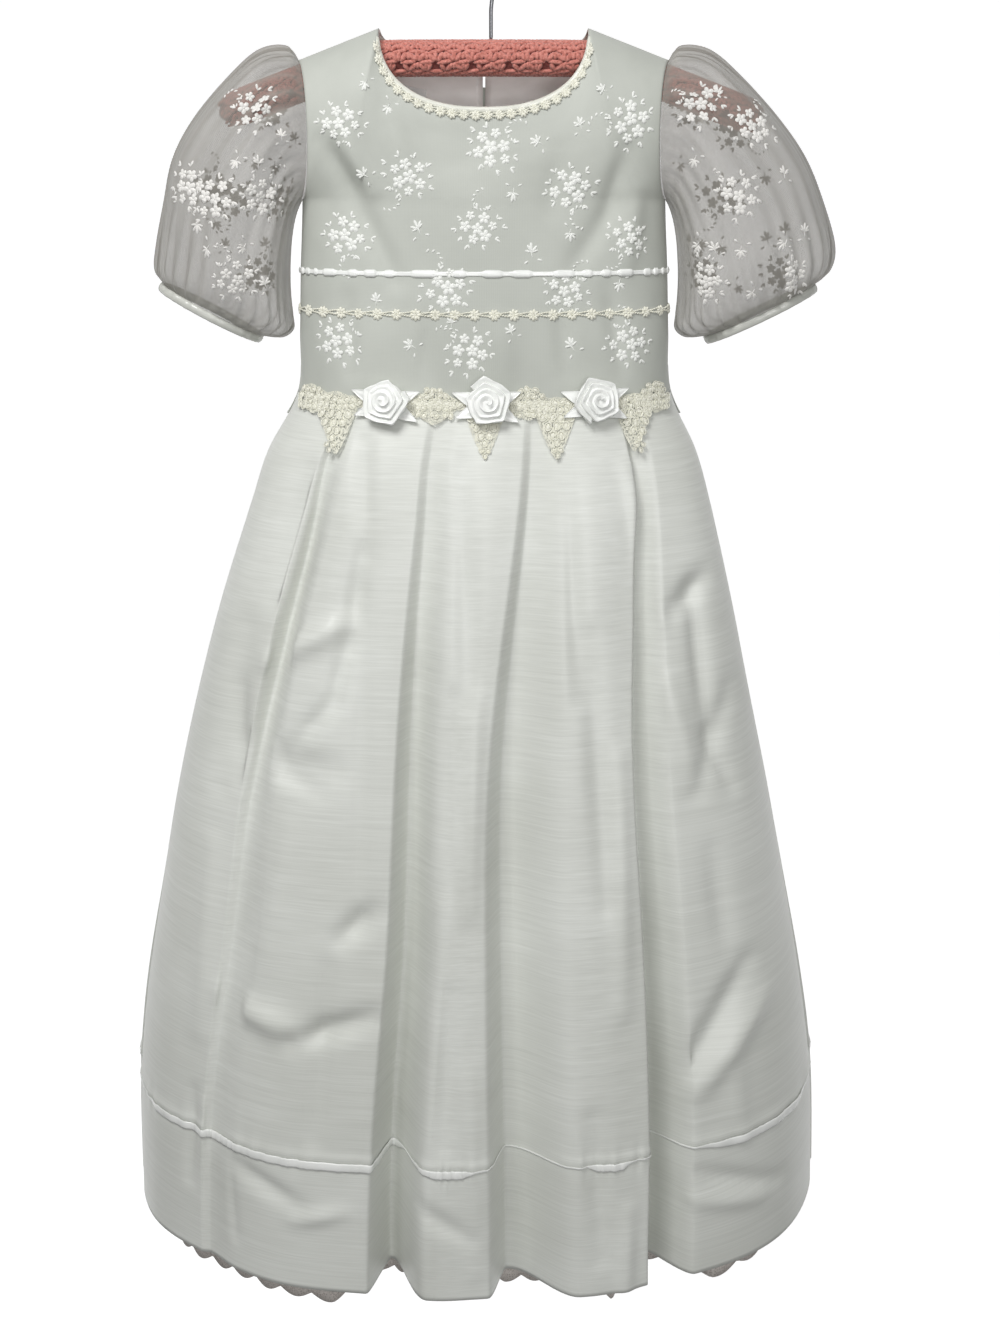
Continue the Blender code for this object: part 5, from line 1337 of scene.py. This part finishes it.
def rose_wraps(x, number):
    """The wound ribbon: a band that circles out from the bud, with folded corners on its outer turns."""
    middle, right, up, out = rose_frame(x)
    angle = np.linspace(0.0, ROSE_TURNS * 2 * math.pi, 300)
    share = angle / angle[-1]
    spin = 1.1 + number * 1.9
    corner = np.radians((np.degrees(angle) + 20 * number) % 72.0 - 36.0)
    folded = math.cos(math.radians(36)) / np.cos(corner) / 0.90
    outer = 0.75 * ease((share - 0.30) / 0.3)
    reach = blend(0.0028, ROSE_RADIUS, share ** 0.95) * blend(1.0, folded, outer)
    band = blend(0.0030, 0.0066, share)
    step = np.arange(0, 7.01, 0.5)[:, None]
    crimp = 0.00035 * np.sin(angle * 7 + step) * share
    radius = np.maximum(reach - read(WRAP, "in", "step", step) * band * 1.25 + crimp, 0.0004)
    tilt = 0.0014 * np.cos(angle - 2.2) * share
    height = blend(0.0098, 0.0008, share ** 0.8) + read(WRAP, "up", "step", step) * band * 0.72 + tilt
    angle = angle + spin
    aside = (radius * np.cos(angle))[..., None] * right + (radius * np.sin(angle))[..., None] * up
    points = middle + aside + height[..., None] * out
    return {"points": points, "normals": out + unit(aside) * 0.3}


def rose_leaf(x, index):
    """A ribbon end folded to a point, with a crease down its middle and a rolled edge."""
    turn, reach, half_width = (LEAVES[key][index] for key in ("turn", "reach", "half_width"))
    share, side = np.meshgrid(np.linspace(0.0, 1.0, 16), np.linspace(-1.0, 1.0, 17), indexing="ij")
    length = 0.006 + share * (reach - 0.006)
    width = half_width * (1.0 - share ** 1.5) * side
    angle = math.radians(turn)
    beside = length * math.cos(angle) - width * math.sin(angle)
    above = length * math.sin(angle) + width * math.cos(angle)
    edge = 0.0007 * np.exp(-((1.0 - np.abs(side)) / 0.16) ** 2)
    ridge = 0.0016 * (1.0 - np.abs(side)) * (1.0 - share)
    base = envelope(x + beside, -above * LEAF_FLATNESS)
    lift = lace_lift(base[..., 0]) + 0.0024 + edge + ridge + 0.0006 * (index % 2)
    points = base - stack(0.0, lift, 0.0)
    return {"points": points, "normals": np.broadcast_to([0.0, -1.0, 0.0], points.shape)}


for number, x in enumerate(ROSE_PLACES, start=1):
    lay(f"rose_wraps_{number}", rose_wraps(x, number), ROSE_RIBBON_WALL, RIBBON,
        (f"rose_{number}",))
    for index in range(4):
        lay(f"rose_{number}_ribbon_point_{index + 1}", rose_leaf(x, index), ROSE_RIBBON_WALL, RIBBON,
            (f"rose_leaves_{number}",) if index == 0 else ())
    middle, right, up, out = rose_frame(x)
    core = bmesh.new()
    bmesh.ops.create_uvsphere(core, u_segments=20, v_segments=12, radius=1.0)
    for vertex in core.verts:
        co = vertex.co
        aside = (right * co.x + up * co.y) * CORE_RADIUS
        vertex.co = Vector(middle + aside + out * (co.z * CORE_HEIGHT - CORE_DROP))
    put(f"rose_{number}_core", core, RIBBON)


# The sash behind: ties from the side seams, loops, tails and knot

def sash_surface(hand):
    """A tie: along it from the side seam (0) to the knot (1), and across it from -1 to 1."""
    def surface(along, share):
        degrees = hand * blend(96.5, 175.8, along)
        slack = np.sin(math.pi * np.clip(along * 1.35, 0.0, 1.0)) ** 2
        half = blend(0.021, 0.012, ease(along * 1.2))
        fall = KNOT_FALL * along + 0.018 * slack + share * half
        point, out = section(degrees, WAIST_DROP + fall)
        pinch = 0.0015 * np.cos(share * math.pi * 2.5) * ease(along * 1.1)
        crown = PANEL_CROWN * np.clip(fall / 0.1, 0.0, 1.0)
        point += out * (crown + 0.010 * slack + 0.0024 + pinch)[..., None]
        point[..., 2] = skirt_height(degrees, fall)
        return point
    return surface


def tail_surface(hand):
    """A tail of the bow: across it from -1 to 1, and its fall."""
    def surface(share, fall):
        half = blend(0.0095, 0.024, ease((fall - KNOT_FALL) / 0.09))
        middle = half + 0.0015 + 0.026 * (fall / TAIL_LENGTH) ** 1.2
        slant = 1.0 + 0.04 * share * ease((fall - 0.3) / 0.1)
        sway = read(SECTIONS, "sway", "drop", WAIST_DROP + fall)
        point = envelope(sway + hand * (middle + share * half), fall * slant, back=True)
        fold = 0.0016 * np.cos(share * 4.4 + 0.6) ** 2 * ease((0.30 - fall) / 0.25)
        point[..., 1] += 0.0018 + fold
        return point
    return surface


def loop_surface(hand):
    """A loop of the bow: across it, and along it from the knot (0) out and back beneath (1)."""
    def surface(share, along):
        angle = math.pi * along
        inside = (along > 0.0) & (along < 1.0)
        reach = np.where(inside, np.maximum(np.sin(angle), 0.0) ** 0.75, 0.0)
        x = blend(KNOT_HALF_WIDTH, 0.098, reach)
        half = blend(0.011, 0.024, ease(reach * 1.4))
        fall = KNOT_FALL + 0.16 * (x - KNOT_HALF_WIDTH) + share * half
        point = envelope(SWAY + hand * x, fall, back=True)
        point[..., 1] += 0.0062 + 0.009 * (1.0 + np.cos(angle)) * blend(0.5, 1.0, reach)
        point[..., 1] += 0.0010 * np.cos(share * 9.0) * (1.0 - reach)
        return point
    return surface


# Each piece, its node, surface, places across and down, the hand whose grid is turned, and how it is held
SASH_PIECES = [
    ("sash_tie", "sash", sash_surface, (0.0, 1.0, 81), (-1.0, 1.0, 21), -1.0, "draped"),
    ("sash_tail_cloth", "sash_tail", tail_surface, (-1.0, 1.0, 25), (0.0256, TAIL_LENGTH, 90), 1.0, "hung"),
    ("sash_bow_loop", "sash_loop", loop_surface, (-1.0, 1.0, 25), (0.0, 1.0, 81), -1.0, "folded"),
]
for name, hand in (("left", 1.0), ("right", -1.0)):
    for piece, node, surface, across, down, turned, held in SASH_PIECES:
        cloth = make_cloth(surface(hand), np.linspace(*across), np.linspace(*down), flip=hand == turned)
        lay(f"{piece}_{name}", cloth, SASH_WALL, SHANTUNG, (f"{node}_{name}",))

# The knot's middle stands off the back, along the slope that the dress has there
KNOT_STAND = 0.0102
knot_top, knot_foot = (envelope(SWAY, KNOT_FALL + side * KNOT_HALF_WIDTH, back=True)
                       for side in (-1.0, 1.0))
lean = math.atan2(knot_foot[1] - knot_top[1], knot_top[2] - knot_foot[2])
knot_middle = (knot_top + knot_foot) / 2 + stack(0.0, math.cos(lean), math.sin(lean)) * KNOT_STAND


def knot_surface(across, height):
    """The knot: a band folded tightly round the ties, with creases running down it."""
    turn = across * math.pi
    bulge = np.sqrt(np.maximum(1.0 - np.abs(height) ** 4, 0.0))
    crease = (1.0 + 0.05 * np.cos(turn * 7) * np.cos(height * 1.5)) * bulge
    x = power(np.sin(turn), 0.7) * KNOT_HALF_WIDTH * crease
    y = -power(np.cos(turn), 0.7) * KNOT_HALF_DEPTH * crease
    z = -height * KNOT_HALF_WIDTH
    return knot_middle + stack(x, y * math.cos(lean) - z * math.sin(lean),
                               y * math.sin(lean) + z * math.cos(lean))


knot = make_cloth(knot_surface, np.linspace(-1.0, 1.0, 97), np.sin(np.linspace(-0.5, 0.5, 25) * math.pi))
lay("sash_knot_band", knot, 0.0, SHANTUNG, ("sash_knot",), weld=True)


# The closing behind and the blank label inside the neck

whole_back = make_cloth(bodice_surface(True), np.linspace(-0.4, 0.4, 81), bodice_rows)
across, down = np.meshgrid(np.linspace(-PLACKET_SHARE, PLACKET_SHARE, 13), np.linspace(-0.79, 0.94, 120))
edge = np.exp(-((PLACKET_SHARE - np.abs(across)) / 0.0035) ** 2)
pucker = 0.0002 * np.sin(down * 90) * edge
placket = laid(whole_back, across, down, 0.0012 + 0.0003 * edge + pucker)
lay("back_placket_band", placket, PLACKET_WALL, ORGANZA, ("back_placket",))
# A button's section: steps from its middle out, radius and height in millimetres
BUTTON = {"step": [0, 1, 2, 3, 4, 5], "radius": [0.0, 2.4, 3.0, 4.2, 4.8, 4.4],
          "height": [2.1, 2.1, 2.5, 2.9, 2.0, 0.2]}


def button_shape(place, right, up, way):
    """A round button with a raised rim."""
    shape = bmesh.new()
    steps = np.linspace(0.0, 5.0, 21)
    radii = read(BUTTON, "radius", "step", steps) / 1000
    heights = read(BUTTON, "height", "step", steps) / 1000
    rim = [shape.verts.new((radius, 0.0, height)) for radius, height in zip(radii, heights)]
    edges = [shape.edges.new(pair) for pair in zip(rim, rim[1:])]
    bmesh.ops.spin(shape, geom=rim + edges, cent=(0, 0, 0), axis=(0, 0, 1), angle=2 * math.pi, steps=28,
                   use_merge=True)
    bmesh.ops.remove_doubles(shape, verts=shape.verts, dist=1e-6)
    bmesh.ops.recalc_face_normals(shape, faces=shape.faces)
    for vertex in shape.verts:
        co = vertex.co
        vertex.co = Vector(place + right * co.x + up * co.y + way * co.z)
    return shape


# Where the buttons stand down the back, how far off it, and where their threads lie in each
BUTTON_ROWS = np.linspace(-0.72, 0.80, 5)
BUTTON_LIFT = 0.0019
THREAD_HEIGHT = 0.00205
THREAD_SPOTS = np.array([(x, y, 0.9, 0.9, 0.4) for x in (-1.5, 0.6) for y in (-1.0, 1.0)]) / 1000
for number, row in enumerate(BUTTON_ROWS, start=1):
    place, way = spot(whole_back, 0.0, row, BUTTON_LIFT)
    up = unit(np.array([0.0, 0.0, 1.0]) - way * way[2])
    right = np.cross(up, way)
    put(f"pearl_button_{number}", button_shape(place, right, up, way), PEARL,
        (f"button_{number}",))
    spots = place + THREAD_SPOTS[:, :1] * right + THREAD_SPOTS[:, 1:2] * up + way * THREAD_HEIGHT
    join_copies(f"pearl_button_thread_{number}", PETAL, spots, np.tile(way, (4, 1)), np.tile(right, (4, 1)),
                THREAD_SPOTS[:, 2:], EMBROIDERY)

# The label lies inside the right back, against its lining
LABEL_INSET = 0.0021
across, down = np.meshgrid(np.linspace(0.19, 0.35, 23), np.linspace(-0.76, -0.62, 13))
label = laid(whole_back, across, down, -LABEL_INSET)
label["normals"] = -label["normals"]
lay("neck_label_blank", label, LABEL_WALL, LABEL, ("neck_label",))


# The padded hanger in its crochet cover, and its wire hook

def hanger_frame(x):
    """The middle of the bar, and its ways along, up and ahead."""
    place = stack(x, 0.0, -hanger_drop(x))
    along = unit(stack(x + 0.001, 0.0, -hanger_drop(x + 0.001)) - place)
    up = np.cross(along, [0.0, 1.0, 0.0])
    return place, along, up, np.broadcast_to([0.0, -1.0, 0.0], place.shape)


def hanger_size(x):
    """The bar's thickness as a share of the whole: it is rounded off at its ends."""
    past = np.clip((np.abs(x) - HANGER_TAPER) / (HANGER_HALF_SPAN - HANGER_TAPER), 0.0, 1.0)
    return np.sqrt(np.maximum(1.0 - past ** 2.4, 0.0))


# The wadding stands a little inside its solid, and the stitches fill the rest. The wadding tube is coloured
# dark pink as painted shade deep between the stitches
WADDING_RADIUS = 0.0120
LAST_RING = 0.2215
x = np.concatenate([[-HANGER_HALF_SPAN], np.linspace(-LAST_RING, LAST_RING, 121), [HANGER_HALF_SPAN]])
place, _, up, _ = hanger_frame(x)
size = WADDING_RADIUS * hanger_size(x)
cover = lay("crochet_cover_painted_shade", tube(place, up, size, size, 20), 0.0, PAINTED_SHADE_YARN,
            ("hanger_cover",), weld=True)

STITCH_PITCH = 0.0148
STITCH_ROWS = 10
STITCHES_EACH_SIDE = 15
LAST_STITCH = 0.216
LAST_STRAND = 0.2185
STRAND_HEIGHT = 0.0038
STRAND_LIFT = 0.0128
EYELET_ROW = 3
# Strands of a stitch in millimetres: along and round from its middle, heading, length, width
STITCH = [(-3.7, 0.0, 48, 9.0, 4.6), (3.7, 0.0, -48, 9.0, 4.6), (0.0, 4.4, 6, 13.5, 4.0),
          (0.2, -1.4, 84, 6.5, 4.2), (7.2, -0.6, 95, 8.0, 4.4)]
EYELET = [(-5.6, 0.4, 62, 8.5, 4.2), (5.6, 0.4, -62, 8.5, 4.2), (0.0, 4.8, 4, 13.0, 3.8)]


def crochet_strands():
    """Every strand of the stitches: along the bar, round it in degrees, heading, length and width."""
    chance = random.Random(29)
    strands = []
    for row in range(STITCH_ROWS):
        for step in range(-STITCHES_EACH_SIDE, STITCHES_EACH_SIDE + 1):
            middle = (step + 0.5 * ((row + 1) % 2)) * STITCH_PITCH
            if abs(middle) > LAST_STITCH:
                continue
            # An eyelet every second stitch of the lower front row
            stitch = EYELET if row == EYELET_ROW and step % 2 else STITCH
            for beside, over, heading, length, width in stitch:
                turn = (row + 0.5) * 360 / STITCH_ROWS + math.degrees(over / 1000 / HANGER_RADIUS)
                strands.append((middle + beside / 1000, turn, heading + chance.uniform(-10, 10),
                                length * chance.uniform(0.92, 1.08), width))
    return np.array(strands)


strands = crochet_strands()
x = np.clip(strands[:, 0], -LAST_STRAND, LAST_STRAND)
place, along, up, ahead = hanger_frame(x)
angle, heading = (np.radians(strands[:, column])[:, None] for column in (1, 2))
ways = up * np.cos(angle) + ahead * np.sin(angle)
headings = along * np.cos(heading) - (ahead * np.cos(angle) - up * np.sin(angle)) * np.sin(heading)
sizes = stack(strands[:, 3] / 1000, strands[:, 4] / 1000, STRAND_HEIGHT)
sizes = sizes * np.maximum(hanger_size(x), 0.5)[:, None]
place = place + ways * (STRAND_LIFT * hanger_size(x))[:, None]
join_copies("crochet_stitches", STRAND, place, ways, headings, sizes, YARN)


# The hook's wire: out of the bar, a bend, then round over the rail
WIRE_IN_BAR = 0.003
NECK_BENDS = [(0.0, -0.080), (0.0, -0.066), (0.0012, -0.056), (0.0062, -0.047), (0.0135, -0.0385)]
HOOK_START, HOOK_END = -25.0, 205.0
bends = [(0.0, -hanger_drop(0.0) + HANGER_RADIUS - WIRE_IN_BAR)] + NECK_BENDS
wire = HOOK_RADIUS + WIRE_RADIUS
for turn in np.radians(np.linspace(HOOK_START, HOOK_END, 41)):
    bends.append((wire * math.cos(turn), wire * math.sin(turn) - HOOK_RADIUS))
path, _ = along_path(np.array([(x, 0.0, z) for x, z in bends]), 0.0022)
hook = tube(path, np.tile([0.0, -1.0, 0.0], (len(path), 1)), WIRE_RADIUS, WIRE_RADIUS, 12)
lay("steel_hook", hook, 0.0, STEEL, ("hanger_hook",), weld=True)


# The trims that are sewn to each sheet

SEWN_ON = {
    "shantung_skirt_front": ["hem_ribbon_satin_front"],
    "shantung_skirt_back": ["hem_ribbon_satin_back"],
    "petticoat_lace_front": ["petticoat_lace_flowers_front"],
    "petticoat_lace_back": ["petticoat_lace_flowers_back"],
    "organza_bodice_front": ["embroidery_bodice_front", "chest_ribbon_satin", "chest_daisies"],
    "waist_lace_bars": ["waist_lace_cords", "waist_lace_fillings"],
    "sash_bow_loop_left": ["sash_knot_band"],
}
for part in ("front", "back_left", "back_right"):
    SEWN_ON.setdefault(f"organza_bodice_{part}", [f"embroidery_bodice_{part}"])
    SEWN_ON[f"organza_bodice_{part}"] += [f"neck_binding_roll_{part}", f"neck_daisy_lace_{part}"]
for name in ("left", "right"):
    SEWN_ON[f"organza_sleeve_{name}"] = [f"embroidery_sleeve_{name}_front",
                                         f"embroidery_sleeve_{name}_back", f"cuff_binding_{name}"]
for number in (1, 2, 3):
    SEWN_ON[f"rose_wraps_{number}"] = [f"rose_{number}_core"]


# Floor, backdrop, lights and camera

WALL_Y = 3.6
FLOOR_Z = -1.9
CORNER = 1.4
ROOM_WIDTH = 16.0
# Along the sheet of the room, from the corner: where the floor begins and where the wall ends
FLOOR_FRONT = -3.1
WALL_TOP = 8.0
WALL_GLOW = 0.55
AIR_BRIGHTNESS = 0.24
SENSOR_WIDTH = 36.0
FRAME_HEIGHT = 1333.0
studio, tree, shader = start_material("white painted studio wall", 0.9)
shader.inputs["Base Color"].default_value = colour("#f6f6f6")
shader.inputs["Emission Color"].default_value = colour("#ffffff")
shader.inputs["Emission Strength"].default_value = WALL_GLOW


def studio_room():
    """A floor and a wall behind the dress, as one sheet with a round corner."""
    shape = bmesh.new()
    bmesh.ops.create_grid(shape, x_segments=1, y_segments=40, size=0.5)
    for vertex in shape.verts:
        run = FLOOR_FRONT + (vertex.co.y + 0.5) * (WALL_TOP - FLOOR_FRONT)
        bend = min(max((run + CORNER) / (2 * CORNER), 0.0), 1.0) * math.pi / 2
        y = WALL_Y - CORNER + min(run + CORNER, 0.0) + CORNER * math.sin(bend)
        z = FLOOR_Z + CORNER - CORNER * math.cos(bend) + max(run - CORNER, 0.0)
        vertex.co = Vector((vertex.co.x * ROOM_WIDTH, y, z))
    mesh = bpy.data.meshes.new("studio_floor")
    shape.to_mesh(mesh)
    shape.free()
    mesh.shade_smooth()
    mesh.materials.append(studio)
    room = bpy.data.objects.new("studio_floor", mesh)
    bpy.context.scene.collection.objects.link(room)
    return room


floor = studio_room()
floor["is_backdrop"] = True


def add_light(name, place, target, size, watts):
    """A softbox that faces its target."""
    light = bpy.data.lights.new(name, "AREA")
    light.shape = "RECTANGLE"
    light.size, light.size_y = size
    light.energy = watts
    lamp = bpy.data.objects.new(name, light)
    lamp.location = place
    lamp.rotation_euler = (Vector(target) - Vector(place)).to_track_quat("-Z", "Y").to_euler()
    bpy.context.scene.collection.objects.link(lamp)


add_light("key_softbox", (-0.6, -1.25, 0.95), (0.0, 0.0, -0.45), (0.8, 0.8), 24)
add_light("fill_softbox", (0.45, -2.2, 0.0), (0.0, 0.0, -0.35), (1.2, 1.2), 15)
world = bpy.data.worlds.new("studio air")
bpy.context.scene.world = world
world.use_nodes = True
world.node_tree.nodes["Background"].inputs["Color"].default_value = colour("#ffffff")
world.node_tree.nodes["Background"].inputs["Strength"].default_value = AIR_BRIGHTNESS

camera = bpy.data.cameras.new("photograph")
camera.sensor_width = SENSOR_WIDTH
camera.lens = SENSOR_WIDTH * FOCAL_PIXELS / FRAME_HEIGHT
view = bpy.data.objects.new("photograph", camera)
view.location = CAMERA_PLACE
view.rotation_euler = (math.radians(90.0) - CAMERA_TILT, 0.0, 0.0)
bpy.context.scene.collection.objects.link(view)
bpy.context.scene.camera = view
bpy.context.scene.view_settings.view_transform = "Standard"

low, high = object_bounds()
